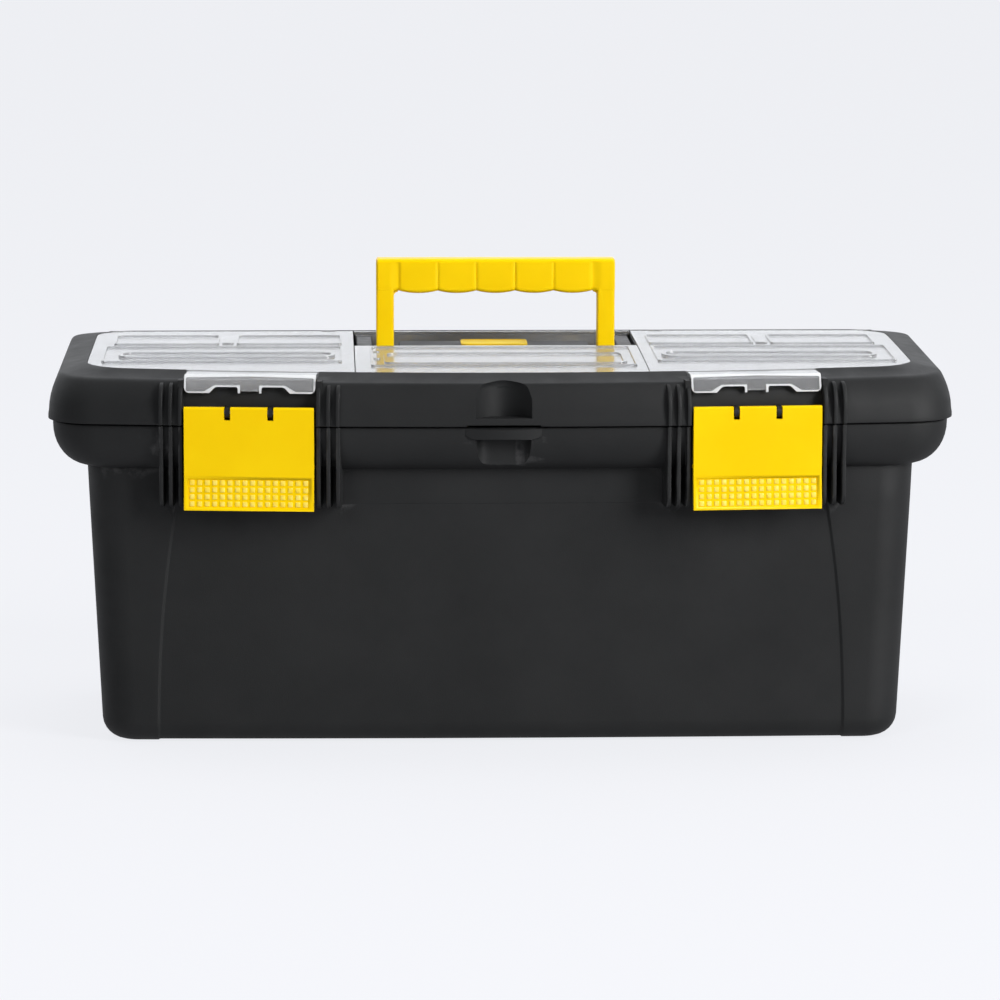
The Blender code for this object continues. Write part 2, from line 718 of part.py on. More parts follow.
def build_lid(hinge):
    lid = part("lid_shell", mesh_from("lid_shell", lid_outside()), BLACK, hinge)
    boolean(lid, "lid_inside", lid_inside())
    shape = inset(SEAT, BLOCK_INSET)
    block = slab(shape, -shape.half, shape.half, flat(BLOCK_BOTTOM), flat(BLOCK_TOP), None, 1)
    join(lid, "bin_block", block)
    join(lid, "latch_backing", on_latches(latch_backing))
    front, back = LID_BACKING_Y
    low = (-THUMB_BACKING_HALF, front, PARTING + GAP)
    backing = box(bmesh.new(), low, (THUMB_BACKING_HALF, back, LID_BACKING_TOP))
    join(lid, "lid_thumb_backing", backing)
    boolean(lid, "cover_seat", slab(SEAT, -SEAT.half, SEAT.half, seat_height, flat(FAR_Z)))
    boolean(lid, "organiser_bins", organiser_bins())
    low = (-SEAM_X, CENTRE_COVER_BACK + GAP, RECESS_FLOOR)
    boolean(lid, "handle_recess", box(bmesh.new(), low, (SEAM_X, RECESS_BACK, FAR_Z)))
    half = SEAM_X - UNDERSIDE_INSET
    low = (-half, CENTRE_COVER_BACK + 0.0030, PARTING - 0.0180)
    high = (half, RECESS_BACK - UNDERSIDE_INSET, RECESS_FLOOR - RECESS_SKIN)
    boolean(lid, "recess_underside", box(bmesh.new(), low, high))
    join(lid, "recess_furniture", recess_furniture())
    boolean(lid, "hinge_troughs", hinge_troughs())
    boolean(lid, "latch_pocket", on_latches(latch_pocket))
    join(lid, "lid_fins", on_latches(lid_fins))
    join(lid, "latch_brackets", on_latches(latch_brackets))
    boolean(lid, "latch_pin_holes", on_latches(latch_pin_holes))
    boolean(lid, "lid_thumb_scoop", thumb_scoop(LIP_TOP, LID_SCOOP_TOP))
    pins = bmesh.new()
    for side in (-1, 1):
        left, right = sorted((side * (BOSS_INNER_X - 0.001), side * (BOSS_OUTER_X - 0.0012)))
        rod(pins, HANDLE_PIN_RADIUS + GAP, left, right, HANDLE_Y, HANDLE_PIVOT_Z)
    boolean(lid, "boss_holes", pins)
    reliefs = bmesh.new()
    for station in (-HINGE_X, HINGE_X):
        left, right = station - KNUCKLE_ROOM, station + KNUCKLE_ROOM
        rod(reliefs, HINGE_BARREL + 0.0007, left, right, HINGE_Y, PARTING)
    boolean(lid, "knuckle_reliefs", reliefs)
    barrels = bmesh.new()
    knuckle(barrels, -LID_KNUCKLE_HALF, LID_KNUCKLE_HALF, LID_WEB, LID_WEB_Y)
    join(lid, "lid_hinge_barrels", barrels)
    below = box(bmesh.new(), (-FAR_X, -FAR_Y, 0.1735), (FAR_X, -0.1060, PARTING + GAP))
    boolean(lid, "lid_bottom_face", below)
    boolean(lid, "lid_hinge_holes", hinge_holes())


def build_lid_fittings(hinge):
    end = SEAM_X - GAP
    strip = slab(SEAT, -end, end, lambda y: seat_height(y) + GAP, cover_height, None, 1)
    bmesh.ops.bisect_plane(
        strip, geom=strip.verts[:] + strip.edges[:] + strip.faces[:], plane_co=(0, RECESS_BACK + GAP, 0),
        plane_no=(0, -1, 0), clear_outer=True,
    )
    bmesh.ops.holes_fill(strip, edges=[edge for edge in strip.edges if edge.is_boundary])
    back_edge = [v for v in strip.verts if v.co.y > SEAT.back - GAP]
    bmesh.ops.translate(strip, verts=back_edge, vec=(0, -GAP, 0))
    part("rear_strip", mesh_from("rear_strip", strip), CLEAR, hinge)
    front, back = BADGE_Y
    low = (-BADGE_HALF, front, BOSS_TOP)
    badge = box(bmesh.new(), low, (BADGE_HALF, back, BOSS_TOP + BADGE_THICK))
    part("badge_plate", mesh_from("badge_plate", badge), YELLOW, hinge)
    shape = inset(SEAT, BIN_INSET)
    inner, outer = BIN_DIVIDER_X
    places = (
        ("left_bin_divider_outer", -outer), ("left_bin_divider_inner", -inner),
        ("centre_bin_divider", 0.0),
        ("right_bin_divider_inner", inner), ("right_bin_divider_outer", outer),
    )
    half = BIN_DIVIDER_HALF
    for name, x in places:
        back = CENTRE_BIN_BACK if x == 0 else shape.back
        low = (x - half, front_line(shape, abs(x) - half) + 2 * GAP, BIN_FLOOR + GAP)
        divider = box(bmesh.new(), low, (x + half, back - 2 * GAP, BIN_DIVIDER_TOP))
        part(name, mesh_from(name, divider), GREY, hinge)


# ---- clear covers -------------------------------------------------------------------------------------
def tongue_bar(solid, frame):
    """The cover's front edge folded down over the lid, above one latch."""
    outline = (
        (0.0265, 0.2053), (0.0088, 0.2051), (0.0066, 0.2036), (0.0044, 0.1990), (0.0040, 0.1957),
        (0.0058, 0.1957), (0.0063, 0.1988), (0.0085, 0.2027), (0.0100, 0.2036), (0.0265, 0.2037),
    )
    profile_bar(solid, outline, -TONGUE_HALF, TONGUE_HALF, frame)


def tongue_notches(frame):
    """What the tongue's lower edge leaves out between its two ears and its middle tab."""
    solid = bmesh.new()
    for side in (-1, 1):
        corners = ((0.0064, 0.1990), (0.0186, 0.1990), (0.0241, 0.1940), (0.0064, 0.1940))
        face = [solid.verts.new(frame @ Vector((side * x, -0.01, z))) for x, z in corners]
        moved = bmesh.ops.extrude_face_region(solid, geom=[solid.faces.new(face)])["geom"]
        ends = [item for item in moved if isinstance(item, bmesh.types.BMVert)]
        bmesh.ops.translate(solid, verts=ends, vec=frame.to_3x3() @ Vector((0, 0.03, 0)))
    return solid


def build_cover(name, left, right, back, pivot, side):
    shape = inset(SEAT, GAP)
    sheet = slab(shape, left, right, lambda y: cover_height(y) - COVER_THICK, cover_height, back)
    cover = part(name, mesh_from(name, sheet), CLEAR, pivot)
    if side:
        frame = latch_frame(side)
        bar = bmesh.new()
        tongue_bar(bar, frame)
        join(cover, name + "_tongue", bar)
        boolean(cover, name + "_notches", tongue_notches(frame))
        tab_cut = box(bmesh.new(), (-0.0063, -0.01, 0.19), (0.0063, 0.02, 0.1968), frame)
        boolean(cover, name + "_tab_end", tab_cut)


# ---- handle and latches -------------------------------------------------------------------------------
def build_handle(pivot):
    half_depth = GRIP_DEPTH / 2
    grip = box(
        bmesh.new(), (-HANDLE_HALF, HANDLE_Y - half_depth, GRIP_BOTTOM),
        (HANDLE_HALF, HANDLE_Y + half_depth, HANDLE_TOP),
    )
    handle = part("carry_handle", mesh_from("carry_handle", grip), YELLOW, pivot)
    legs, ends, holes = bmesh.new(), bmesh.new(), bmesh.new()
    for side in (-1, 1):
        inner, outer = sorted((side * (HANDLE_HALF - LEG_WIDTH), side * HANDLE_HALF))
        low = (inner, HANDLE_Y - LEG_DEPTH / 2, HANDLE_PIVOT_Z)
        box(legs, low, (outer, HANDLE_Y + LEG_DEPTH / 2, GRIP_BOTTOM + 0.004))
        rod(ends, LEG_DEPTH / 2, inner, outer, HANDLE_Y, HANDLE_PIVOT_Z)
        rod(holes, HANDLE_PIN_RADIUS + GAP, inner - 0.001, outer + 0.001, HANDLE_Y, HANDLE_PIVOT_Z)
    join(handle, "handle_legs", legs)
    join(handle, "handle_leg_ends", ends)
    boolean(handle, "handle_holes", holes)


def build_handle_pins(hinge):
    for name, side in (("handle_pin_left", -1), ("handle_pin_right", 1)):
        ends = sorted((side * (HANDLE_HALF - LEG_WIDTH + 0.0004), side * (BOSS_OUTER_X - 0.0015)))
        pin = rod(bmesh.new(), HANDLE_PIN_RADIUS, *ends, HANDLE_Y, HANDLE_PIVOT_Z)
        part(name, mesh_from(name, pin), STEEL, hinge)


def build_latch(name, pin_name, side, lid_hinge):
    frame = latch_frame(side)
    pivot = Pivot(name + "_axis", frame @ Vector((0, LATCH_AXIS_Y, LATCH_AXIS_Z)), lid_hinge)
    back = LATCH_FRONT + LATCH_THICK
    front_foot, back_foot = LATCH_FRONT - LATCH_FLARE, back - LATCH_FLARE
    outline = (
        (LATCH_FRONT, LATCH_TOP - 0.0012), (LATCH_FRONT, 0.1515), (front_foot, LATCH_BOTTOM),
        (back_foot, LATCH_BOTTOM), (back, 0.1505), (back, 0.1550), (0.0055, 0.1550), (0.0055, 0.1562),
        (back, 0.1573), (back, LATCH_TOP), (LATCH_FRONT + 0.0012, LATCH_TOP),
    )
    plate = profile_bar(bmesh.new(), outline, -LATCH_HALF, LATCH_HALF, frame)
    latch = part(name, mesh_from(name, plate), YELLOW, pivot)
    end = LATCH_HALF - 0.0001
    barrel = rod(bmesh.new(), LATCH_BARREL, -end, end, LATCH_AXIS_Y, LATCH_AXIS_Z, frame)
    join(latch, name + "_barrel", barrel)
    slots = bmesh.new()
    for x in (-SLOT_X, SLOT_X):
        box(slots, (x - SLOT_HALF, -0.01, SLOT_BOTTOM), (x + SLOT_HALF, 0.02, FAR_Z), frame)
    boolean(latch, name + "_slots", slots)
    bore = rod(bmesh.new(), LATCH_PIN_RADIUS + GAP, -0.04, 0.04, LATCH_AXIS_Y, LATCH_AXIS_Z, frame)
    boolean(latch, name + "_bore", bore)
    pin_end = LATCH_PIN_HALF
    pin = rod(bmesh.new(), LATCH_PIN_RADIUS, -pin_end, pin_end, LATCH_AXIS_Y, LATCH_AXIS_Z, frame)
    part(pin_name, mesh_from(pin_name, pin), STEEL, lid_hinge)


def main():
    build_tub()
    for name, station in (("lid_hinge_pin_left", -HINGE_X), ("lid_hinge_pin_right", HINGE_X)):
        left, right = station - HINGE_PIN_HALF, station + HINGE_PIN_HALF
        pin = rod(bmesh.new(), HINGE_PIN_RADIUS, left, right, HINGE_Y, PARTING)
        part(name, mesh_from(name, pin), STEEL)
    build_tray(Pivot("tray_lift", (0, 0, TRAY_LEDGE)))
    lid_hinge = Pivot("lid_hinge", (0, HINGE_Y, PARTING))
    build_lid(lid_hinge)
    build_lid_fittings(lid_hinge)
    build_handle_pins(lid_hinge)
    build_handle(Pivot("handle_axis", (0, HANDLE_Y, HANDLE_PIVOT_Z), lid_hinge))
    side_axis_z = cover_height(SIDE_HINGE_Y) - COVER_THICK / 2
    outer, inner = SEAT.half - GAP, SEAM_X + GAP
    for name, left, right, side in (
        ("left_cover", -outer, -inner, -1),
        ("right_cover", inner, outer, 1),
    ):
        pivot = Pivot(name + "_axis", (side * LATCH_X, SIDE_HINGE_Y, side_axis_z), lid_hinge)
        build_cover(name, left, right, SIDE_COVER_BACK, pivot, side)
    centre_axis = (0, CENTRE_HINGE_Y, cover_height(CENTRE_HINGE_Y) - COVER_THICK / 2)
    pivot = Pivot("centre_cover_axis", centre_axis, lid_hinge)
    build_cover("centre_cover", GAP - SEAM_X, SEAM_X - GAP, CENTRE_COVER_BACK - GAP, pivot, 0)
    build_latch("left_latch", "latch_pin_left", -1, lid_hinge)
    build_latch("right_latch", "latch_pin_right", 1, lid_hinge)


main()
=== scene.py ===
"""Looks of the toolbox with its tray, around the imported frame.

Metres, +Z up, front towards -Y, as in the CAD.  Each visible piece is drawn again here with its rounded
edges, ribs, grips and textures.  A plan section is the outline of the box at one height: straight back,
bowed front, round corners.
"""

import json
from collections import namedtuple
from math import atan, atan2, ceil, cos, hypot, pi, radians, sin, sqrt

import bmesh
import bpy
from mathutils import Matrix, Vector


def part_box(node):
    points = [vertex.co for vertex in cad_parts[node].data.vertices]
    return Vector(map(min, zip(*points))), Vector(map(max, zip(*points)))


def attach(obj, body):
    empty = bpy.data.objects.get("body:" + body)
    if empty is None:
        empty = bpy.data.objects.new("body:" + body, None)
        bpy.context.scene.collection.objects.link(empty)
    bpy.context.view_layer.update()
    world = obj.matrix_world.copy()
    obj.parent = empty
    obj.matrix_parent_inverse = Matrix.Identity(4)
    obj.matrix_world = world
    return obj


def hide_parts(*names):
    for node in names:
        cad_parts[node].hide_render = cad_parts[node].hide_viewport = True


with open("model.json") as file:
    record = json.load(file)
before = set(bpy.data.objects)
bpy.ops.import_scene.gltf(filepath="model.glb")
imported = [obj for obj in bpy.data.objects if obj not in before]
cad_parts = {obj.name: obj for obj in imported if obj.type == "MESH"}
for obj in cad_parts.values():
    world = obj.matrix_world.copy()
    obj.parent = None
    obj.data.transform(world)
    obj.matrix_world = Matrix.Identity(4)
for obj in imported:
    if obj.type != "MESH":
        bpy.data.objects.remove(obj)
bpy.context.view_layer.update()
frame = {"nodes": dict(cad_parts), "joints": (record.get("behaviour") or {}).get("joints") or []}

Section = namedtuple("Section", "half front back bow radius")

# ---- sizes of the moulded shells, as the CAD has them
GAP = 0.0003
WALL = 0.0026
BASE = Section(0.219, 0.0948, 0.0865, 0.0035, 0.02)
BODY = Section(0.2265, 0.1041, 0.095, 0.01, 0.022)
FLANGE = Section(0.245, 0.121, 0.11, 0.02, 0.028)
LIP = Section(0.2475, 0.1235, 0.1125, 0.02, 0.03)
RIM = Section(0.2375, 0.114, 0.1, 0.03, 0.024)
SEAT = Section(0.227, 0.1045, 0.0905, 0.026, 0.022)
TRAY_BASE = Section(0.2065, 0.095, 0.0865, 0.0085, 0.018)
TRAY_TOP = Section(0.2135, 0.0975, 0.089, 0.01, 0.019)
TRAY_RIM = Section(0.2259, 0.1032, 0.094, 0.0112, 0.022)

BODY_TOP = 0.153
PARTING = 0.178
BASE_ROUND = 0.012
FOOT_INNER_X = 0.188
FOOT_DROP = 0.001
PILLAR_PROUD = 0.0012
PILLAR_TOP = 0.134
LIP_TOP = 0.1828
LIP_PROUD = 0.0004
BLOCK_BOTTOM = 0.172
BIN_FLOOR = 0.1745
BIN_INSET = 0.0045
BOSS = (0.0695, 0.0785)
SEAM_X = 0.08
COVER_THICK = 0.0018
CENTRE_COVER_BACK = 0.0145
SIDE_COVER_BACK = 0.089
RECESS_BACK = 0.085
RECESS_FLOOR = 0.1865
TRAY_FLOOR = 0.115
TRAY_LEDGE = 0.1566
TRAY_WALL = 0.002

# ---- fittings; their joints come from the imported frame, the sizes are given here
JOINTS = {joint["name"]: joint["pos_m"] for joint in frame["joints"] if "pos_m" in joint}
LATCH_X = 0.1375
LATCH_HALF = 0.0352
LATCH_FRONT = -0.0015
LATCH_THICK = 0.0024
LATCH_FLARE = 0.0016
LATCH_AXIS = (0.0015, 0.1855)
LATCH_BARREL = 0.003
SLOT_X = 0.0117
POCKET_HALF = 0.0362
BACKING_HALF = 0.039
POCKET_DEPTH = 0.007
FIN_OFFSETS = (0.0374, 0.0428, 0.048)
FIN_HALF = 0.0011
TONGUE_HALF = 0.0355
LATCH_BORE = 0.0015
PIN_BORE = 0.0021
PAD_RISE = 0.0008
SUNK = -0.0009
ABOVE = 0.23
CUTTER_SPAN = (-0.01, 0.03)
HINGE_X = 0.15
HINGE_BARREL = 0.0055
THUMB_HALF = 0.0152

CREASE_TOP = 0.1341
CREASE_LEFT = -0.073
CREASE_RIGHT = 0.085
CREASE_DEPTH = 0.0004
STEP_EDGE = 0.001

CORNER_STEPS = 14
FRONT_CELLS = 28
OUTER_CELLS = 3
SOFT_EDGE = 0.0004
SMOOTH_UNDER = 38
WELD = 0.00002


# ---- geometry helpers
def link(name, data):
    piece = bpy.data.objects.new(name, data)
    bpy.context.scene.collection.objects.link(piece)
    return piece


def smooth(data):
    data.shade_smooth()
    data.set_sharp_from_angle(angle=radians(SMOOTH_UNDER))


def piece_from(name, solid):
    """An object made from a solid, which is freed."""
    bmesh.ops.recalc_face_normals(solid, faces=solid.faces)
    data = bpy.data.meshes.new(name)
    solid.to_mesh(data)
    solid.free()
    smooth(data)
    return link(name, data)


def settle(piece):
    """Applies the piece's modifiers."""
    bpy.context.view_layer.update()
    shaped = bpy.data.meshes.new_from_object(piece.evaluated_get(bpy.context.evaluated_depsgraph_get()))
    piece.modifiers.clear()
    old = piece.data
    piece.data = shaped
    bpy.data.meshes.remove(old)


def cut(piece, solid, operation="DIFFERENCE"):
    """Cuts a solid out of the piece, or joins it on, at once."""
    tool = piece_from("tool", solid)
    modifier = piece.modifiers.new("boolean", "BOOLEAN")
    modifier.operation = operation
    modifier.solver = "EXACT"
    modifier.object = tool
    settle(piece)
    bpy.data.meshes.remove(tool.data)


def join(piece, solid):
    cut(piece, solid, "UNION")


def soften(piece, width=SOFT_EDGE, angle=40):
    """Rounds the piece's sharp edges, and keeps the shading of its flat faces even."""
    shape = bmesh.new()
    shape.from_mesh(piece.data)
    bmesh.ops.remove_doubles(shape, verts=shape.verts, dist=WELD)
    bmesh.ops.dissolve_degenerate(shape, edges=shape.edges, dist=WELD)
    shape.to_mesh(piece.data)
    shape.free()
    bevel = add_bevel(piece, "round_edges", width, angle)
    bevel.use_clamp_overlap = True
    bevel.miter_outer = "MITER_ARC"
    settle(piece)
    smooth(piece.data)
    piece.modifiers.new("face_normals", "WEIGHTED_NORMAL").keep_sharp = True
    settle(piece)


def add_bevel(piece, name, width, angle):
    bevel = piece.modifiers.new(name, "BEVEL")
    bevel.width = width
    bevel.segments = 2
    bevel.limit_method = "ANGLE"
    bevel.angle_limit = radians(angle)
    return bevel


# ---- plan sections
def inset(section, amount):
    half, front, back, bow, radius = section
    return Section(half - amount, front - amount, back - amount, bow, max(radius - amount, 0.004))


def blend(first, second, share):
    return Section(*(a + (b - a) * share for a, b in zip(first, second)))


def ease(share):
    share = min(max(share, 0.0), 1.0)
    return share * share * (3 - 2 * share)


def front_line(section, x):
    return -section.front + section.bow * (x / section.half) ** 2


def turns(*span):
    """Angles in radians, from a range in degrees."""
    return [radians(angle) for angle in range(*span)]


def arc(centre_x, centre_y, radius, start, end, steps=CORNER_STEPS):
    angles = [start + (end - start) * i / steps for i in range(steps + 1)]
    return [(centre_x + radius * cos(a), centre_y + radius * sin(a)) for a in angles]


def front_stations(tip, line):
    """x values along the front, with five close together at each step line."""
    near = [line + STEP_EDGE * share for share in (-1.0, -0.5, 0.0, 0.5, 1.0)]
    outer = [near[-1] + (tip - near[-1]) * (i + 1) / OUTER_CELLS for i in range(OUTER_CELLS)]
    inner = [near[0] * (2 * i / FRONT_CELLS - 1) for i in range(1, FRONT_CELLS)]
    right = near + outer
    return [-x for x in reversed(right)] + inner + right


def level(height, y):
    return height(y) if callable(height) else height


def plan_ring(section, height, line=None, relief=None):
    """Points round a section, from the left of the front; height is a number or a function of y."""
    half, radius = section.half, section.radius
    lean = atan(2 * section.bow * (half - radius) / half**2)
    tip = half - radius * (1 - sin(lean))
    relief = relief or (lambda x: 0.0)
    front = [(x, front_line(section, x) - relief(x)) for x in front_stations(tip, line or 0.86 * tip)]
    corner_y = front_line(section, tip) + radius * cos(lean) - relief(tip)
    right = pi / 2
    points = front
    points += arc(half - radius, corner_y, radius, lean - right, 0)[1:]
    points += arc(half - radius, section.back - radius, radius, 0, right)
    points += arc(radius - half, section.back - radius, radius, right, 2 * right)
    points += arc(radius - half, corner_y, radius, 2 * right, 3 * right - lean)[:-1]
    return [(x, y, level(height, y)) for x, y in points]


def skin(solid, loops, capped=True):
    """Faces between each loop of vertices and the next, and over the first and last."""
    for lower, upper in zip(loops, loops[1:]):
        for i, vertex in enumerate(lower):
            j = (i + 1) % len(lower)
            solid.faces.new((vertex, lower[j], upper[j], upper[i]))
    if capped:
        solid.faces.new(reversed(loops[0]))
        solid.faces.new(loops[-1])


def loft(rings):
    solid = bmesh.new()
    skin(solid, [[solid.verts.new(point) for point in ring] for ring in rings])
    return solid


def plan_edges(section, x):
    over = abs(x) - (section.half - section.radius)
    drop = section.radius - sqrt(max(section.radius**2 - over**2, 0)) if over > 0 else 0.0
    return front_line(section, x) + drop, section.back - drop


def slab(section, left, right, low, high, back=None, rows=12, cells=24):
    """Part of a section between two x values as a closed sheet; low and high give its faces over y."""
    corner = section.half - section.radius
    marks = [corner + section.radius * sin(turn) for turn in turns(0, 91, 9)]
    spread = [left + (right - left) * i / cells for i in range(cells + 1)]
    spread = [x for x in spread if abs(x) < corner - 0.001 or x in (left, right)]
    stations = sorted(set(spread + [x for x in marks + [-m for m in marks] if left < x < right]))
    solid = bmesh.new()
    top, bottom = [], []
    for x in stations:
        front_y, back_y = plan_edges(section, x)
        back_y = back_y if back is None else min(back, back_y)
        ys = [front_y + (back_y - front_y) * i / rows for i in range(rows + 1)]
        top.append([solid.verts.new((x, y, level(high, y))) for y in ys])
        bottom.append([solid.verts.new((x, y, level(low, y))) for y in ys])
    for grid, other in zip(zip(top, top[1:]), zip(bottom, bottom[1:])):
        for near, far in (grid, other):
            for i in range(rows):
                solid.faces.new((near[i], far[i], far[i + 1], near[i + 1]))
        for i in (0, rows):
            solid.faces.new((grid[0][i], grid[1][i], other[1][i], other[0][i]))
    for end in (0, -1):
        for i in range(rows):
            solid.faces.new((top[end][i], top[end][i + 1], bottom[end][i + 1], bottom[end][i]))
    return solid


def span(side, near, far):
    """Two x values on one side of the box, from left to right."""
    return sorted((side * near, side * far))


def box(solid, low, high, place=None):
    low, high = Vector(low), Vector(high)
    matrix = (place or Matrix()) @ Matrix.LocRotScale((low + high) / 2, None, high - low)
    bmesh.ops.create_cube(solid, size=1.0, matrix=matrix)
    return solid


def rod(solid, radius, left, right, y, z, place=None, sides=40):
    centre = Matrix.Translation(((left + right) / 2, y, z)) @ Matrix.Rotation(radians(90), 4, "Y")
    bmesh.ops.create_cone(
        solid, cap_ends=True, segments=sides, radius1=radius, radius2=radius, depth=right - left,
        matrix=(place or Matrix()) @ centre,
    )
    return solid


def extrude(solid, corners, reach, place=None):
    """A flat outline drawn out along a vector."""
    place = place or Matrix()
    face = solid.faces.new([solid.verts.new(place @ Vector(corner)) for corner in corners])
    moved = bmesh.ops.extrude_face_region(solid, geom=[face])["geom"]
    ends = [item for item in moved if isinstance(item, bmesh.types.BMVert)]
    bmesh.ops.translate(solid, verts=ends, vec=place.to_3x3() @ Vector(reach))
    return solid


def profile_bar(solid, outline, left, right, place=None):
    """A (y, z) outline drawn out along X."""
    return extrude(solid, [(left, y, z) for y, z in outline], (right - left, 0, 0), place)


def prism(solid, outline, start, reach, place=None):
    """An (x, z) outline drawn out along Y."""
    return extrude(solid, [(x, start, z) for x, z in outline], (0, reach, 0), place)


def upright(solid, outline, low, high):
    """An (x, y) outline drawn out along Z."""
    return extrude(solid, [(x, y, low) for x, y in outline], (0, 0, high - low))


def corners(left, right, low, high, amount=0.0):
    """The corners of a rectangle, drawn in by an amount."""
    left, right, low, high = left + amount, right - amount, low + amount, high - amount
    return [(left, low), (right, low), (right, high), (left, high)]


def rounded(points, radius, steps=5):
    """An outline with each corner replaced by an arc-like curve of this radius."""
    result = []
    count = len(points)
    for i, point in enumerate(points):
        here = Vector(point)
        before = Vector(points[i - 1]) - here
        after = Vector(points[(i + 1) % count]) - here
        reach = min(radius, before.length * 0.45, after.length * 0.45)
        first = here + before.normalized() * reach
        last = here + after.normalized() * reach
        for k in range(steps + 1):
            t = k / steps
            result.append(tuple(first * (1 - t) ** 2 + here * 2 * t * (1 - t) + last * t**2))
    return result


def bevelled(shape, radius, steps=2):
    bmesh.ops.recalc_face_normals(shape, faces=shape.faces)
    bmesh.ops.bevel(
        shape, geom=shape.edges[:], offset=radius, offset_type="OFFSET", segments=steps, profile=0.5,
        affect="EDGES", clamp_overlap=True,
    )
    return shape


def rounded_box(solid, low, high, radius, place=None):
    shape = bevelled(box(bmesh.new(), low, high), radius)
    if place:
        bmesh.ops.transform(shape, matrix=place, verts=shape.verts)
    add(solid, shape)
    return solid


def add(solid, other):
    """Copies the other solid's faces into this one, and frees it."""
    data = bpy.data.meshes.new("copy")
    other.to_mesh(data)
    other.free()
    solid.from_mesh(data)
    bpy.data.meshes.remove(data)


def latch_frame(side):
    """The latch's place on the lip's bowed front: -1 is the left one, 1 the right one."""
    lean = atan(2 * LIP.bow * LATCH_X / LIP.half**2)
    place = Matrix.Translation((side * LATCH_X, front_line(LIP, LATCH_X), 0))
    return place @ Matrix.Rotation(side * lean, 4, "Z")


def on_latches(draw):
    solid = bmesh.new()
    for side in (-1, 1):
        draw(solid, latch_frame(side))
    return solid


def latch_boxes(low, high):
    return on_latches(lambda solid, place: box(solid, low, high, place))


def rim_height(y):
    return 0.2058 - 0.004 * ((0.0545 - y) / 0.17) ** 2


def cover_height(y):
    return 0.207 - 0.0018 * ((0.0545 - y) / 0.17) ** 2


def seat_height(y):
    return cover_height(y) - COVER_THICK - GAP


def adopt(piece, body, nodes, material):
    """Gives the piece its body, material slot, replaced nodes and material."""
    piece.data.materials.clear()
    piece.data.materials.append(material)
    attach(piece, body)
    if nodes:
        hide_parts(*nodes)
    return piece


# ---- materials
def node_output(tree, kind, output, inputs, **settings):
    """One output of a new shader node, whose inputs take values or other nodes' outputs."""
    node = tree.nodes.new("ShaderNode" + kind)
    for name, value in settings.items():
        setattr(node, name, value)
    for name, value in inputs.items():
        if isinstance(value, bpy.types.NodeSocket):
            tree.links.new(value, node.inputs[name])
        else:
            node.inputs[name].default_value = value
    return node.outputs[output]


def map_range(tree, value, low, high, from_low, from_high):
    return node_output(tree, "MapRange", "Result", {
        "Value": value, "From Min": from_low, "From Max": from_high, "To Min": low, "To Max": high,
    })


class Finish:
    """A Principled material with object coordinates, and short calls for its texture nodes."""

    def __init__(self, name, colour, roughness, **sockets):
        self.material = bpy.data.materials.new(name)
        self.material.use_nodes = True
        self.tree = self.material.node_tree
        self.shader = self.tree.nodes["Principled BSDF"]
        self.shader.inputs["Base Color"].default_value = (*colour, 1.0)
        self.shader.inputs["Roughness"].default_value = roughness
        for socket, value in sockets.items():
            self.shader.inputs[socket.replace("_", " ")].default_value = value
        self.place = self.tree.nodes.new("ShaderNodeTexCoord").outputs["Object"]
        self.bumped = None

    def drive(self, socket, value):
        self.tree.links.new(value, self.shader.inputs[socket])

    def noise(self, scale, detail=3.0, roughness=0.6, stretch=None):
        place = self.place
        if stretch:
            place = node_output(self.tree, "Mapping", "Vector", {"Vector": place, "Scale": stretch})
        return node_output(self.tree, "TexNoise", "Fac", {
            "Vector": place, "Scale": scale, "Detail": detail, "Roughness": roughness,
        })

    def shade(self, value, first, last, low=0.35, high=0.65):
        """Base colour from first to last as the value goes from low to high."""
        ramp = self.tree.nodes.new("ShaderNodeValToRGB")
        for stop, position, colour in zip(ramp.color_ramp.elements, (low, high), (first, last)):
            stop.position = position
            stop.color = (*colour, 1.0)
        self.tree.links.new(value, ramp.inputs["Fac"])
        self.drive("Base Color", ramp.outputs["Color"])
        return ramp.outputs["Color"]

    def edges(self, colour, worn, start, full):
        """Lightens convex edges, as handling does."""
        pointiness = self.tree.nodes.new("ShaderNodeNewGeometry").outputs["Pointiness"]
        edge = map_range(self.tree, pointiness, 0.0, 1.0, start, full)
        patchy = map_range(self.tree, self.noise(90.0, 4.0, 0.7), 0.0, 1.0, 0.45, 0.65)
        both = node_output(self.tree, "Math", "Value", {0: edge, 1: patchy}, operation="MULTIPLY")
        self.drive("Base Color", node_output(self.tree, "Mix", "Result", {
            "A": colour, "B": (*worn, 1.0), "Factor": both,
        }, data_type="RGBA"))

    def rough(self, value, low, high):
        self.drive("Roughness", map_range(self.tree, value, low, high, 0.3, 0.7))

    def bump(self, value, depth, strength):
        """A bump on top of the ones before it."""
        inputs = {"Height": value, "Strength": strength, "Distance": depth}
        if self.bumped:
            inputs["Normal"] = self.bumped
        self.bumped = node_output(self.tree, "Bump", "Normal", inputs)
        self.drive("Normal", self.bumped)


def plastic(name, colour, roughness, cloud, tones, patches, gloss, bumps, worn=None, **sockets):
    """Clouded colour, patchy roughness, fine bumps as (scale, depth, strength), and worn edges."""
    finish = Finish(name, colour, roughness, **sockets)
    tone = finish.shade(finish.noise(*cloud), *tones)
    if worn:
        finish.edges(tone, *worn)
    finish.rough(finish.noise(*patches), *gloss)
    for scale, depth, strength in bumps:
        finish.bump(finish.noise(scale, 2.0, 0.5), depth, strength)
    return finish.material


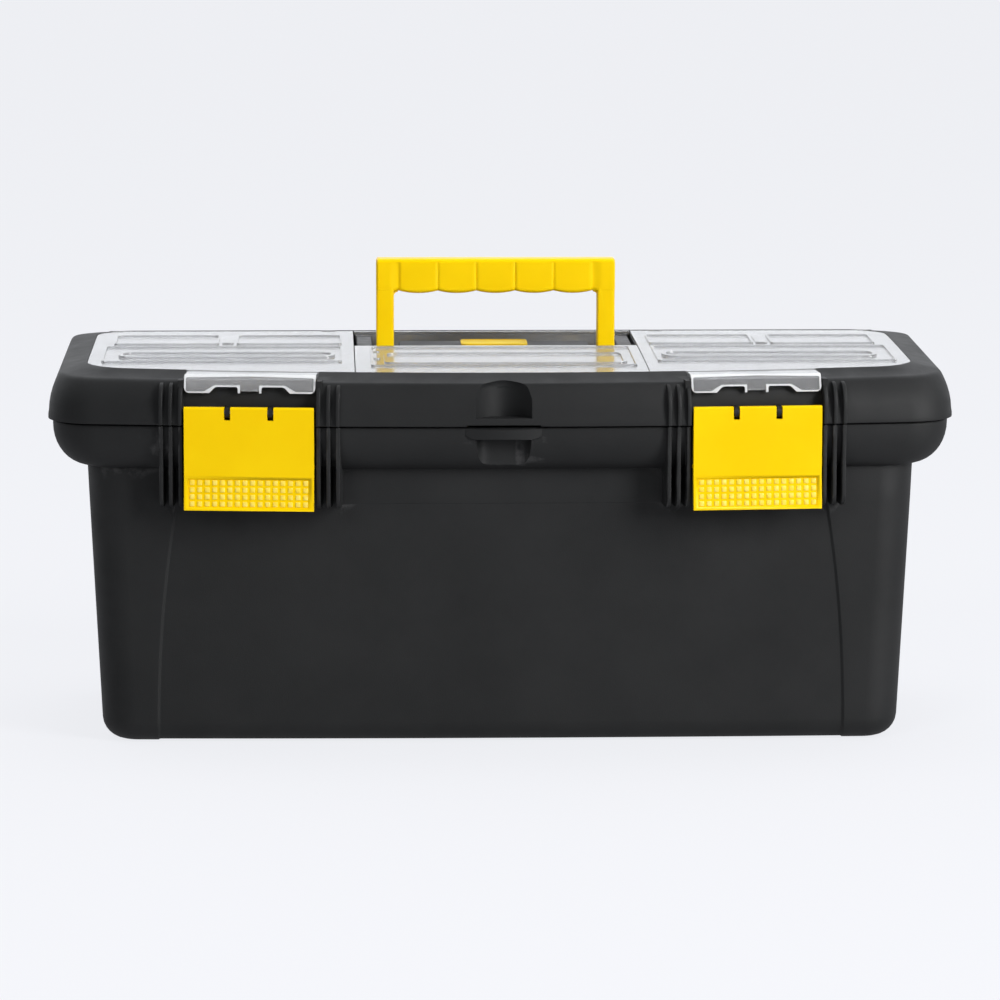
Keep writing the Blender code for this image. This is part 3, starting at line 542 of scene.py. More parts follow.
def coarse_black():
    """Coarse texture on the boss tops."""
    finish = Finish("black_coarse_plastic", (0.03, 0.03, 0.031), 0.5)
    grain = node_output(finish.tree, "TexVoronoi", "Distance", {"Vector": finish.place, "Scale": 1100.0})
    finish.shade(grain, (0.05, 0.05, 0.051), (0.022, 0.022, 0.023), 0.15, 0.75)
    finish.rough(finish.noise(160.0, 4.0, 0.6), 0.42, 0.58)
    finish.bump(grain, 0.00018, 0.8)
    return finish.material


def drawn_steel():
    finish = Finish("drawn_steel", (0.58, 0.58, 0.6), 0.28, Metallic=1.0)
    lines = finish.noise(900.0, stretch=(0.04, 1.0, 1.0))
    finish.shade(lines, (0.48, 0.48, 0.5), (0.66, 0.66, 0.67))
    finish.rough(lines, 0.2, 0.38)
    finish.bump(lines, 0.00003, 0.5)
    return finish.material


def tray_grey(name, worn=None):
    return plastic(
        name, (0.05, 0.051, 0.054), 0.48, (20.0,), ((0.044, 0.045, 0.048), (0.058, 0.059, 0.061)),
        (80.0, 5.0, 0.65), (0.4, 0.56), ((1300.0, 0.00007, 0.5),), worn,
    )


BLACK = plastic(
    "black_grained_plastic", (0.012, 0.0125, 0.013), 0.6,
    (14.0,), ((0.0105, 0.011, 0.0115), (0.015, 0.0155, 0.016)), (60.0, 5.0, 0.65), (0.54, 0.66),
    ((1500.0, 0.0001, 0.55), (9.0, 0.0015, 0.1)), ((0.05, 0.05, 0.051), 0.56, 0.66),
    Specular_IOR_Level=0.38,
)
COARSE = coarse_black()
YELLOW = plastic(
    "yellow_satin_plastic", (0.98, 0.64, 0.0), 0.36,
    (22.0, 3.0, 0.55), ((0.965, 0.625, 0.0), (1.0, 0.665, 0.001)), (70.0, 5.0, 0.65), (0.29, 0.42),
    ((1300.0, 0.00003, 0.5), (28.0, 0.0003, 0.05)), ((1.0, 0.72, 0.012), 0.58, 0.72),
    Specular_IOR_Level=0.14, Subsurface_Weight=0.05, Subsurface_Scale=0.002,
    Subsurface_Radius=(1.0, 0.6, 0.1),
)
# the grip studs' tops in a lighter, glossier yellow: a painted highlight on the same plastic as the latch
STUD_HIGHLIGHT = plastic(
    "yellow_stud_tops_painted_highlight", (1.0, 0.76, 0.1), 0.3,
    (300.0,), ((1.0, 0.72, 0.06), (1.0, 0.8, 0.16)), (500.0,), (0.26, 0.36),
    ((1300.0, 0.00003, 0.5),), Specular_IOR_Level=0.3,
)
CLEAR = plastic(
    "frosted_clear_plastic", (0.86, 0.87, 0.89), 0.2,
    (18.0,), ((0.86, 0.87, 0.89), (0.9, 0.905, 0.915)), (240.0,), (0.14, 0.2),
    ((900.0, 0.00002, 0.3),), Transmission_Weight=0.84, IOR=1.46,
)
# painted highlight: clear plastic seen along its edge, where it gathers light, drawn as a paler, less clear
# sheet
EDGE_GLOW = plastic(
    "clear_plastic_painted_edge_glow", (0.9, 0.91, 0.93), 0.22,
    (40.0,), ((0.86, 0.87, 0.89), (0.94, 0.945, 0.955)), (90.0, 4.0, 0.6), (0.18, 0.28),
    ((650.0, 0.00003, 0.3),), Transmission_Weight=0.25, IOR=1.46,
)
TRAY = tray_grey("tray_grey_plastic", ((0.11, 0.11, 0.11), 0.56, 0.66))
TRAY_INSERT = tray_grey("tray_insert_plastic")
DIVIDER = plastic(
    "bin_divider_plastic", (0.028, 0.0285, 0.03), 0.44,
    (40.0,), ((0.022, 0.0225, 0.024), (0.034, 0.0345, 0.036)), (120.0, 4.0, 0.6), (0.36, 0.5),
    ((1300.0, 0.00005, 0.5),),
)
STEEL = drawn_steel()
BADGE = plastic(
    "blank_badge_plate", (0.72, 0.5, 0.0), 0.55,
    (60.0,), ((0.66, 0.45, 0.0), (0.76, 0.53, 0.002)), (150.0, 4.0, 0.6), (0.5, 0.62),
    ((1200.0, 0.00003, 0.4),), Specular_IOR_Level=0.15,
)


# ---- tub
def quarter(centre_y, centre_z, reach_y, reach_z, start, end, steps=8):
    """Points of an elliptic arc in the (y, z) plane, angles in degrees."""
    angles = [radians(start + (end - start) * i / steps) for i in range(steps + 1)]
    return [(centre_y + reach_y * cos(a), centre_z + reach_z * sin(a)) for a in angles]


def tub_section(height):
    return blend(BASE, BODY, height / BODY_TOP)


def pillar_line(height):
    """Where the corner pillars end."""
    return FOOT_INNER_X - 0.011 * min(height / PILLAR_TOP, 1.0) ** 2.2


def tub_relief(height):
    """How far the front stands out over x: the corner pillars, and the faint crease between them."""
    fade = ease((BODY_TOP - height) / (BODY_TOP - PILLAR_TOP))
    below = ease((CREASE_TOP - height) / 0.0005) * (1 - ease((CREASE_TOP - height) / 0.08))

    def relief(x):
        pillar = PILLAR_PROUD * fade * ease((abs(x) - pillar_line(height) + STEP_EDGE) / (2 * STEP_EDGE))
        middle = ease((x - CREASE_LEFT) / 0.006) * ease((CREASE_RIGHT - x) / 0.006)
        return pillar - CREASE_DEPTH * below * middle

    return relief


def flare(turn):
    """The flare's section and height, from the body's top (0) to the flange (90 degrees)."""
    rise = PARTING - 0.0025 - BODY_TOP
    return blend(BODY, FLANGE, sin(turn)), BODY_TOP + rise * (1 - cos(turn))


def tub_outside():
    def ring(section, height):
        return plan_ring(section, height, pillar_line(height), tub_relief(height))

    rings = []
    for turn in turns(0, 61, 12) + turns(75, 91, 15):
        height = BASE_ROUND * (1 - cos(turn))
        rings.append(ring(inset(tub_section(height), BASE_ROUND * (1 - sin(turn))), height))
    heights = [0.02 + 0.0095 * i for i in range(12)]
    heights += [CREASE_TOP - 0.0005, CREASE_TOP - 0.00025, CREASE_TOP, 0.1385, 0.143, 0.148, BODY_TOP]
    rings += [ring(tub_section(height), height) for height in heights]
    rings += [ring(*flare(turn)) for turn in turns(9, 91, 9)]
    for amount, drop in ((0.0, 0.0008), (0.0002, 0.0003), (0.0007, 0.0)):
        rings.append(ring(inset(FLANGE, amount), PARTING - GAP - drop))
    return loft(rings)


def tub_inside():
    steps = ((0.0035, 0.009), (0.0042, 0.006), (0.0062, 0.003), (0.012, 0.0), (0.155, 0.0))
    rings = [plan_ring(inset(tub_section(z), WALL + extra), z) for z, extra in steps]
    low = BODY_TOP + WALL
    body, flange = inset(tub_section(low), WALL), inset(FLANGE, WALL)
    for turn in turns(12, 85, 12):
        height = low + (PARTING - BODY_TOP - WALL) * (1 - cos(turn))
        rings.append(plan_ring(blend(body, flange, sin(turn)), height))
    rings.append(plan_ring(flange, PARTING + 0.01))
    return loft(rings)


def fins(outline):
    """Three blades with rounded edges on each side of both latches."""
    solid = bmesh.new()
    for side in (-1, 1):
        for offset in FIN_OFFSETS:
            for centre in (-offset, offset):
                blade = profile_bar(bmesh.new(), outline, centre - FIN_HALF, centre + FIN_HALF)
                bevelled(blade, 0.0006)
                bmesh.ops.transform(blade, matrix=latch_frame(side), verts=blade.verts)
                add(solid, blade)
    return solid


def catch_ledge(solid, place):
    rounded_box(solid, (-0.03, 0.003, 0.158), (0.03, POCKET_DEPTH + 0.0015, 0.161), 0.0004, place)


def thumb_scoop(low, high, depth, power, dome):
    """An upright cutter with a curved back and an arched top; a high power gives it steeper sides."""
    half = THUMB_HALF
    columns = list(map(sin, turns(-90, 91, 5)))
    levels = [(low, half)]
    for rise in map(sin, turns(0, 91, 10)):
        levels.append((high - dome + dome * rise, half * sqrt(1 - 0.995 * rise**2)))
    rings = []
    for z, reach in levels:
        deep = depth * (reach / half) ** 0.5
        ring = [(reach * c, deep * (1 - abs(c) ** power) - FLANGE.front - 0.0005, z) for c in columns]
        rings.append((ring + [(reach, -0.14, z), (-reach, -0.14, z)])[::-1])
    return loft(rings)


def thumb_backing():
    """Thickens the flare from within, behind the thumb recess."""
    outline = [(WALL / 2 - section.front, z) for section, z in map(flare, turns(34, 83, 6))]
    outline += [(-0.1098, outline[-1][1]), (-0.1098, outline[0][1])]
    return profile_bar(bmesh.new(), outline, -0.0185, 0.0185)


def crescent():
    """The thin ledge over the tub's thumb recess, bowed forward and drooping in the middle."""
    half, proud, steps = 0.0205, 0.0026, 32
    rings = []
    for i in range(steps + 1):
        share = 2 * i / steps - 1
        x = half * share
        swell = 1 - share**2
        front = -FLANGE.front - proud * swell - 0.0001
        low, high = 0.1712 - 0.0008 * swell + 0.0018 * share**8, 0.1774 - 0.0004 * swell
        ring = [(-0.117, low), (front + 0.0004, low), (front, low + 0.0004), (front, high - 0.0004)]
        ring += [(front + 0.0004, high), (-0.117, high)]
        rings.append([(x, y, z) for y, z in ring])
    return loft(rings)


def knuckle(solid, near, far, start, end, wall_y):
    """A hinge barrel with a web to its wall, at both stations."""
    y, z = JOINTS["lid_hinge"][1:]
    outline = quarter(y, z, HINGE_BARREL, HINGE_BARREL, start, end, 36)
    outline += [(wall_y, outline[-1][1]), (wall_y, outline[0][1])]
    for station in (-HINGE_X, HINGE_X):
        profile_bar(solid, outline, station + near, station + far)


def hinge_rods(radius, reach):
    rods = bmesh.new()
    for station in (-HINGE_X, HINGE_X):
        rod(rods, radius, station - reach, station + reach, *JOINTS["lid_hinge"][1:])
    return rods


def build_tub():
    tub = piece_from("tub_body", tub_outside())
    barrels = bmesh.new()
    for side in (-1, 1):
        knuckle(barrels, *span(side, 0.0038, 0.012), 245, 555, 0.104)
    join(tub, barrels)
    foot = quarter(0.0065, 0.1395, 0.0057, 0.0065, 180, 270)
    join(tub, fins([(0.03, PARTING - GAP), (0.0008, PARTING - GAP)] + foot + [(0.03, 0.133)]))
    join(tub, crescent())
    cut(tub, tub_inside())
    backing_back = POCKET_DEPTH + 0.0027
    join(tub, latch_boxes((-BACKING_HALF, 0.004, 0.1565), (BACKING_HALF, backing_back, PARTING - GAP)))
    join(tub, thumb_backing())
    cut(tub, latch_boxes((-POCKET_HALF, -0.02, 0.148), (POCKET_HALF, POCKET_DEPTH, PARTING + 0.01)))
    join(tub, on_latches(catch_ledge))
    cut(tub, thumb_scoop(0.15, 0.1715, 0.0085, 7, 0.0005))
    cut(tub, box(bmesh.new(), (-0.3, -0.2, PARTING - GAP), (0.3, 0.112, 0.2)))
    cut(tub, hinge_rods(PIN_BORE, 0.015))
    relief = FOOT_INNER_X + 0.0002
    cut(tub, box(bmesh.new(), (-relief, -0.12, -0.01), (relief, 0.12, FOOT_DROP)))
    soften(tub)
    adopt(tub, "tub", ("tub_shell",), BLACK)


# ---- tray
def build_tray():
    edge = 0.0006
    top, inner = TRAY_LEDGE + TRAY_WALL, inset(TRAY_BASE, TRAY_WALL)
    rings = (
        (inset(TRAY_BASE, 0.004), TRAY_FLOOR),
        (inset(TRAY_BASE, 0.0012), TRAY_FLOOR + 0.0012),
        (TRAY_BASE, TRAY_FLOOR + 0.004),
        (TRAY_TOP, TRAY_LEDGE),
        (inset(TRAY_RIM, edge), TRAY_LEDGE),
        (TRAY_RIM, TRAY_LEDGE + edge),
        (TRAY_RIM, top - edge),
        (inset(TRAY_RIM, edge), top),
        (inset(TRAY_TOP, TRAY_WALL - edge), top),
        (inset(TRAY_TOP, TRAY_WALL), top - edge),
        (inner, TRAY_FLOOR + 0.006),
        (inset(TRAY_BASE, TRAY_WALL + 0.0009), TRAY_FLOOR + TRAY_WALL + 0.001),
        (inset(TRAY_BASE, TRAY_WALL + 0.003), TRAY_FLOOR + TRAY_WALL),
    )
    tray = piece_from("tray_shell", loft(plan_ring(*ring) for ring in rings))
    adopt(tray, "tray", ("tray_body",), TRAY)
    low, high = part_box("tray_grip_wall")
    grip = piece_from("tray_grip_bar", rounded_box(bmesh.new(), low, high, edge))
    hole = rounded(corners(-0.045, 0.045, 0.133, 0.148), 0.006, 8)
    cut(grip, prism(bmesh.new(), hole, -0.01, 0.02))
    soften(grip, 0.0003)
    adopt(grip, "tray", ("tray_grip_wall",), TRAY_INSERT)


# ---- lid
# height from the lip to the rim, and how far the section has turned in, both as shares
CROWN = (
    (0.2, 0.03), (0.4, 0.105), (0.58, 0.21), (0.72, 0.32), (0.82, 0.41), (0.89, 0.485),
    (0.935, 0.545), (0.965, 0.61), (0.985, 0.7), (1.0, 0.9),
)


def lid_outside():
    edge = 0.0005
    bottom, base = PARTING + GAP, LIP_TOP + 0.0004
    wall = inset(LIP, LIP_PROUD)
    pairs = [
        (inset(LIP, edge), bottom), (inset(LIP, 0.0001), bottom + 0.0002), (LIP, bottom + edge),
        (LIP, LIP_TOP - 0.002), (wall, base),
    ]
    for share, turn_in in CROWN:
        pairs.append((blend(wall, RIM, turn_in), lambda y, s=share: base + s * (rim_height(y) - base)))
    pairs.append((blend(RIM, SEAT, 0.5), lambda y: (rim_height(y) + cover_height(y)) / 2 + 0.0001))
    pairs += [(inset(SEAT, amount), lambda y: cover_height(y) + 0.0002) for amount in (-0.0006, 0.003)]
    return loft(plan_ring(*pair) for pair in pairs)


def lid_inside():
    wall = inset(LIP, 0.0018 + WALL)
    steps = (
        (0.16, 0.0), (0.19, 0.0008), (0.194, 0.0018), (0.1968, 0.0035), (0.1983, 0.0055), (0.199, 0.008),
    )
    return loft(plan_ring(inset(wall, amount), height) for height, amount in steps)


def latch_pocket(solid, place):
    outline = [
        (-0.02, 0.17), (POCKET_DEPTH, 0.17), (POCKET_DEPTH, 0.1945), (0.0112, 0.201),
        (0.0112, 0.2031), (0.026, 0.2031), (0.026, 0.23), (-0.02, 0.23),
    ]
    profile_bar(solid, outline, -POCKET_HALF, POCKET_HALF, place)


def latch_brackets(solid, place):
    """Two round-nosed arms that reach through the latch's slots and hold its pin."""
    y, z = LATCH_AXIS
    nose = quarter(y, z, LATCH_BARREL, LATCH_BARREL, 90, 270, 16)
    outline = nose + [(POCKET_DEPTH + 0.0012, nose[-1][1]), (POCKET_DEPTH + 0.0012, nose[0][1])]
    for x in (-SLOT_X, SLOT_X):
        profile_bar(solid, outline, x - 0.0011, x + 0.0011, place)


def organiser_bins():
    bins = bmesh.new()
    shape = inset(SEAT, BIN_INSET)
    spans = ((-shape.half, -0.082, None), (0.082, shape.half, None), (-0.0775, 0.0775, 0.0105))
    for left, right, back in spans:
        add(bins, slab(shape, left, right, BIN_FLOOR, ABOVE, back, 1, 12))
    return bins


def recess_furniture():
    """The island inside the folded handle and the boss beside each of its legs."""
    solid = rounded_box(bmesh.new(), (-0.054, 0.03, 0.1855), (0.054, 0.0615, 0.2042), 0.0008)
    for side in (-1, 1):
        inner, outer = span(side, *BOSS)
        rounded_box(solid, (inner, 0.0155, 0.1855), (outer, 0.08, 0.2045), 0.0008)
    return solid


def build_lid():
    lid = piece_from("lid_body", lid_outside())
    cut(lid, lid_inside())
    block = inset(SEAT, 0.002)
    join(lid, slab(block, -block.half, block.half, BLOCK_BOTTOM, 0.2025, None, 1, 12))
    join(lid, latch_boxes((-BACKING_HALF, 0.004, PARTING + GAP), (BACKING_HALF, 0.014, 0.2025)))
    join(lid, box(bmesh.new(), (-0.0185, -0.119, PARTING + GAP), (0.0185, -0.1078, 0.1985)))
    cut(lid, slab(SEAT, -SEAT.half, SEAT.half, seat_height, ABOVE))
    cut(lid, organiser_bins())
    recess_front = CENTRE_COVER_BACK + GAP
    cut(lid, box(bmesh.new(), (-SEAM_X, recess_front, RECESS_FLOOR), (SEAM_X, RECESS_BACK, ABOVE)))
    cut(lid, box(bmesh.new(), (-0.0775, 0.0175, 0.16), (0.0775, 0.0825, 0.1845)))
    join(lid, recess_furniture())
    troughs = box(bmesh.new(), (-0.0802, 0.0093, 0.2036), (0.0802, 0.016, ABOVE))
    for left, right in ((-0.2218, -0.0798), (0.0798, 0.2218)):
        box(troughs, (left, 0.0856, 0.204), (right, 0.0903, ABOVE))
    cut(lid, troughs)
    cut(lid, on_latches(latch_pocket))
    nose = quarter(0.0085, 0.187, 0.0096, 0.0136, 180, 90, 10)
    join(lid, fins([(0.02, PARTING + GAP), (-0.0011, PARTING + GAP)] + nose + [(0.02, 0.2006)]))
    join(lid, on_latches(latch_brackets))
    reach = SLOT_X + 0.004
    cut(lid, on_latches(lambda solid, place: rod(solid, LATCH_BORE, -reach, reach, *LATCH_AXIS, place)))
    cut(lid, thumb_scoop(LIP_TOP, 0.2046, 0.0096, 2, 0.006))
    pins = bmesh.new()
    for side in (-1, 1):
        rod(pins, PIN_BORE, *span(side, 0.0685, 0.0773), *JOINTS["handle_fold"][1:])
    cut(lid, pins)
    cut(lid, hinge_rods(HINGE_BARREL + 0.0007, 0.0124))
    barrels = bmesh.new()
    knuckle(barrels, -0.0035, 0.0035, 164, 470, 0.1092)
    join(lid, barrels)
    cut(lid, hinge_rods(PIN_BORE, 0.015))
    cut(lid, box(bmesh.new(), (-0.02, -0.14, 0.17), (0.02, -0.1165, PARTING + GAP + 0.0009)))
    soften(lid)
    adopt(lid, "lid", ("lid_shell",), BLACK)


def build_recess_tops():
    """Coarse-textured caps on the bosses, as thin moulded pads."""
    for side, name in ((-1, "left_boss_cap"), (1, "right_boss_cap")):
        left, right = span(side, *BOSS)
        low, high = (left + 0.0006, 0.016, 0.2043), (right - 0.0006, 0.0795, 0.2049)
        cap = rounded_box(bmesh.new(), low, high, 0.0002)
        adopt(piece_from(name, cap), "lid", (), COARSE)


def build_badge():
    """A blank plate with a raised border, where the photographed box has lettering."""
    low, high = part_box("badge_plate")
    edges = low.x, high.x, low.y, high.y
    outline = rounded(corners(*edges), 0.004, 8)
    plate = piece_from("badge_blank", upright(bmesh.new(), outline, low.z, high.z))
    field = rounded(corners(*edges, 0.0011), 0.003, 8)
    cut(plate, upright(bmesh.new(), field, high.z - 0.0004, high.z + 0.01))
    soften(plate, 0.0001)
    adopt(plate, "lid", ("badge_plate",), BADGE)


def build_recess_lining():
    """The pale lining on the rear wall of the handle recess."""
    lining = rounded_box(bmesh.new(), (-0.0788, 0.0836, 0.1868), (0.0788, 0.0847, 0.2052), 0.0003)
    adopt(piece_from("recess_rear_lining", lining), "lid", (), CLEAR)


def build_rear_strip():
    """The clear rear edge behind the handle recess."""
    low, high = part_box("rear_strip")
    across = [(low.y, seat_height(low.y) + GAP), (high.y, seat_height(high.y) + GAP)]
    across += [(high.y, cover_height(high.y)), (low.y, cover_height(low.y))]
    strip = profile_bar(bmesh.new(), rounded(across, 0.0004, 3), low.x, high.x)
    adopt(piece_from("rear_clear_strip", strip), "lid", ("rear_strip",), CLEAR)


# ---- clear covers
def subdivided(points, step):
    result = []
    for i, point in enumerate(points):
        here, following = Vector(point), Vector(points[(i + 1) % len(points)])
        cells = max(1, ceil((following - here).length / step))
        result += [tuple(here.lerp(following, k / cells)) for k in range(cells)]
    return result


def rectangle(left, right, front, back, amount, radius):
    return subdivided(rounded(corners(left, right, front, back, amount), radius, 4), 0.005)


def rib_loop(solid, left, right, front, back, width=0.0014, rise=0.001, radius=0.0022):
    """A raised rib round a rectangle of the cover."""
    draft = 0.0003
    points = rectangle(left, right, front, back, 0.0, radius)
    centre = Vector(((left + right) / 2, (front + back) / 2))
    half = Vector((right - left, back - front)) / 2
    loops = []
    for amount, offset in ((0.0, SUNK), (draft, rise), (width - draft, rise), (width, SUNK)):
        scale = Vector(((half.x - amount) / half.x, (half.y - amount) / half.y))
        scaled = [[c + (p - c) * k for p, c, k in zip(point, centre, scale)] for point in points]
        loops.append([solid.verts.new((x, y, cover_height(y) + offset)) for x, y in scaled])
    skin(solid, loops + loops[:1], capped=False)


def pad(solid, left, right, front, back):
    """A raised pad with a rounded outline on the cover."""
    loops = []
    for amount, offset in ((0.0, SUNK), (0.0002, PAD_RISE - 0.0003), (0.0006, PAD_RISE)):
        points = rectangle(left, right, front, back, amount, 0.002)
        loops.append([solid.verts.new((x, y, cover_height(y) + offset)) for x, y in points])
    skin(solid, loops)


def tongue_bar(place, grow=0.0):
    """The cover's front edge folded down over the lid, above one latch."""
    outer = [(0.0265, 0.2053), (0.015, 0.20525)] + quarter(0.0094, 0.2011, 0.0041, 0.004, 84, 150, 8)
    outer += [(0.0046, 0.199), (0.0041, 0.1972), (0.004, 0.1957)]
    inner = [(0.0058, 0.1957), (0.006, 0.1973), (0.0064, 0.199)]
    inner += quarter(0.0098, 0.2007, 0.0029, 0.0028, 150, 84, 8) + [(0.0265, 0.2037)]
    outer = [(y - grow, z + grow * (z > 0.2)) for y, z in outer]
    return profile_bar(bmesh.new(), outer + inner, -TONGUE_HALF - grow, TONGUE_HALF + grow, place)


def tongue_cutters(place):
    """What the tongue's lower edge leaves out: beside its middle tab, and at its two outer corners."""
    notches, ears = bmesh.new(), bmesh.new()
    radius, low = 0.0028, 0.1957
    for side in (-1, 1):
        notch = ((0.0064, 0.199), (0.0186, 0.199), (0.0241, 0.1935), (0.0064, 0.1935))
        prism(notches, rounded([(side * x, z) for x, z in notch], 0.0014), *CUTTER_SPAN, place)
        tip = side * TONGUE_HALF
        inner, outer = tip - side * radius, tip + side * 0.002
        ear = [
            (inner + side * radius * sin(turn), low + radius - radius * cos(turn))
            for turn in turns(0, 91, 10)
        ]
        ear += [(outer, low + radius), (outer, low - 0.002), (ear[0][0], low - 0.002)]
        prism(ears, ear, *CUTTER_SPAN, place)
    return notches, ears


def tongue_painted_glow(name, side, body):
    """A painted highlight: a paler sheet for the bright outline of the tongue, at its fold, its ears and
    its lower edge.
    """
    place = latch_frame(side)
    edge = piece_from(name, tongue_bar(place, 0.00012))
    for cutter in tongue_cutters(place):
        cut(edge, cutter)
    half = TONGUE_HALF - 0.0009
    lower = [(-0.0248, 0.1965), (-0.0192, 0.1998), (0.0192, 0.1998), (0.0248, 0.1965)]
    window = [(-half, 0.2038), (-half, 0.1965)] + lower + [(half, 0.1965), (half, 0.2038), (0.0, 0.2045)]
    cut(edge, prism(bmesh.new(), rounded(window, 0.0009, 4), *CUTTER_SPAN, place))
    for low, high in (
        ((-0.05, 0.0102, 0.19), (0.05, 0.05, 0.22)), ((-0.0052, -0.01, 0.19), (0.0052, 0.03, 0.2006)),
    ):
        cut(edge, box(bmesh.new(), low, high, place))
    soften(edge, 0.00015, 50)
    adopt(edge, body, (), EDGE_GLOW)


def cover_lugs(side, pivot):
    """The rolled hinge lugs on a side cover's rear edge."""
    lugs = bmesh.new()
    for centre in (0.2168, 0.0945):
        rod(lugs, 0.0013, *span(side, centre - 0.004, centre + 0.004), *pivot[1:], sides=24)
    return lugs


def build_cover(node, left, right, back, side, ribs):
    sheet = slab(
        inset(SEAT, GAP), left, right, lambda y: cover_height(y) - COVER_THICK, cover_height, back, 24, 40,
    )
    cover = piece_from(node.replace("_cover", "_clear_cover"), sheet)
    join(cover, ribs)
    if side:
        place = latch_frame(side)
        join(cover, tongue_bar(place))
        for cutter in tongue_cutters(place):
            cut(cover, cutter)
        cut(cover, box(bmesh.new(), (-0.0063, -0.01, 0.19), (0.0063, 0.02, 0.1968), place))
        tab = rounded_box(bmesh.new(), (-0.0061, 0.005, 0.197), (0.0061, 0.0071, 0.1998), 0.0003, place)
        join(cover, tab)
        cut(cover, box(bmesh.new(), (-0.0088, 0.0172, 0.2046), (0.0088, 0.018, 0.21), place))
        join(cover, cover_lugs(side, JOINTS[node + "_hinge"]))
        # a paler sheet along the tongue's outline, as a painted highlight
        tongue_painted_glow(node.replace("_cover", "_tongue_painted_glow"), side, node)
    soften(cover, 0.00028, 45)
    adopt(cover, node, (node,), CLEAR)


def side_embossing(side):
    """Two rectangles behind with a bridge between, and a long one in front with a rib loop in it."""
    ribs = bmesh.new()
    rib_loop(ribs, *span(side, 0.1465, 0.0868), 0.018, 0.06)
    rib_loop(ribs, *span(side, 0.2155, 0.156), 0.018, 0.06)
    rib_loop(ribs, *span(side, 0.2195, 0.0868), -0.06, 0.0065)
    rib_loop(ribs, *span(side, 0.211, 0.0905), -0.043, -0.02, width=0.003, rise=0.0012, radius=0.009)
    pad(ribs, *span(side, 0.1548, 0.1478), 0.0215, 0.06)
    return ribs


def centre_embossing():
    ribs = bmesh.new()
    rib_loop(ribs, -0.0715, 0.075, -0.078, 0.003)
    rib_loop(ribs, -0.064, 0.07, -0.07, -0.025, width=0.0024, rise=0.0012, radius=0.006)
    for front, back in ((-0.018, -0.006), (-0.048, -0.026)):
        pad(ribs, -0.0698, -0.0658, front, back)
    return ribs


def build_covers():
    outer, inner, back = SEAT.half - GAP, SEAM_X + GAP, SIDE_COVER_BACK
    build_cover("left_cover", -outer, -inner, back, -1, side_embossing(-1))
    build_cover("right_cover", inner, outer, back, 1, side_embossing(1))
    build_cover("centre_cover", GAP - SEAM_X, SEAM_X - GAP, CENTRE_COVER_BACK - GAP, 0, centre_embossing())


# ---- handle
def rounded_section(half_a, low, high, radius, steps=5, side_cells=4):
    """Points round a rectangle with round corners, the same number for every size."""
    points = []
    middle, half_z = (low + high) / 2, (high - low) / 2
    for corner, (sign_a, sign_z) in enumerate(((1, 1), (-1, 1), (-1, -1), (1, -1))):
        turn = radians(90 * corner)
        centre = (sign_a * (half_a - radius), middle + sign_z * (half_z - radius))
        points += arc(*centre, radius, turn, turn + pi / 2, steps)
    result = []
    for i, point in enumerate(points):
        result.append(point)
        if i % (steps + 1) == steps:
            following = points[(i + 1) % len(points)]
            for k in range(1, side_cells):
                result.append(tuple(a + (b - a) * k / side_cells for a, b in zip(point, following)))
    return result


def grip_section(x, low, high, depth):
    """The grip at one x: five finger bulges, with a shallow groove between neighbours."""
    fingers = 5
    end = 0.0545
    place = (x + end) / (2 * end) * fingers
    share = 2 * (place % 1) - 1 if abs(x) < end else 1.0
    beyond = ease((abs(x) - end) / 0.006)
    bottom = low + 0.0014 * share**2 * (1 - beyond)
    groove = (0.0002 * share**4 + 0.0009 * abs(share) ** 24) * (1 - beyond)
    ring = []
    for y, z in rounded_section(depth / 2, bottom, high, 0.0024):
        fade = ease((high - z - 0.0008) / 0.003)
        ring.append((y * (1 - groove * fade / (depth / 2)), z))
    return ring


def build_handle():
    low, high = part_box("carry_handle")
    pivot_y, pivot_z = JOINTS["handle_fold"][1:]
    depth = high.y - low.y
    grip_low, cells, end = 0.2363, 270, 0.0009
    rings = []
    for i in range(cells + 1):
        x = low.x + (high.x - low.x) * i / cells
        shrink = max(0.0, end - (high.x - abs(x)))
        section = grip_section(x, grip_low + shrink, high.z - shrink, depth - 2 * shrink)
        rings.append([(x, pivot_y + y, z) for y, z in section])
    handle = piece_from("handle_grip", loft(rings))
    leg_width, leg_depth, leg_top = 0.01, 0.009, grip_low + 0.004
    shank_depth = depth - 2 * 0.0002
    fillet_radius = 0.0022
    holes = bmesh.new()
    for side in (-1, 1):
        inner, outer = span(side, high.x - leg_width, high.x)
        for left, right, deep, foot in (
            (inner, outer, leg_depth, pivot_z),
            (inner + 0.0001, outer - 0.0001, shank_depth, pivot_z + 0.005),
        ):
            ends = (left, pivot_y - deep / 2, foot), (right, pivot_y + deep / 2, leg_top)
            join(handle, rounded_box(bmesh.new(), *ends, 0.0012))
        join(handle, rod(bmesh.new(), leg_depth / 2, inner, outer, pivot_y, pivot_z, sides=48))
        rod(holes, PIN_BORE, inner - 0.001, outer + 0.001, pivot_y, pivot_z)
        x, z = side * (high.x - leg_width), grip_low + 0.0006
        centre_x, centre_z = x - side * fillet_radius, z - fillet_radius
        bend = [
            (centre_x + side * fillet_radius * cos(turn), centre_z + fillet_radius * sin(turn))
            for turn in turns(0, 91, 10)
        ]
        fillet = bend + [(centre_x, z + 0.002), (x + side * 0.002, z + 0.002), (x + side * 0.002, centre_z)]
        join(handle, prism(bmesh.new(), fillet, pivot_y - 0.0036, 0.0072))
    cut(handle, holes)
    soften(handle, 0.0003, 50)
    adopt(handle, "handle", ("carry_handle",), YELLOW)


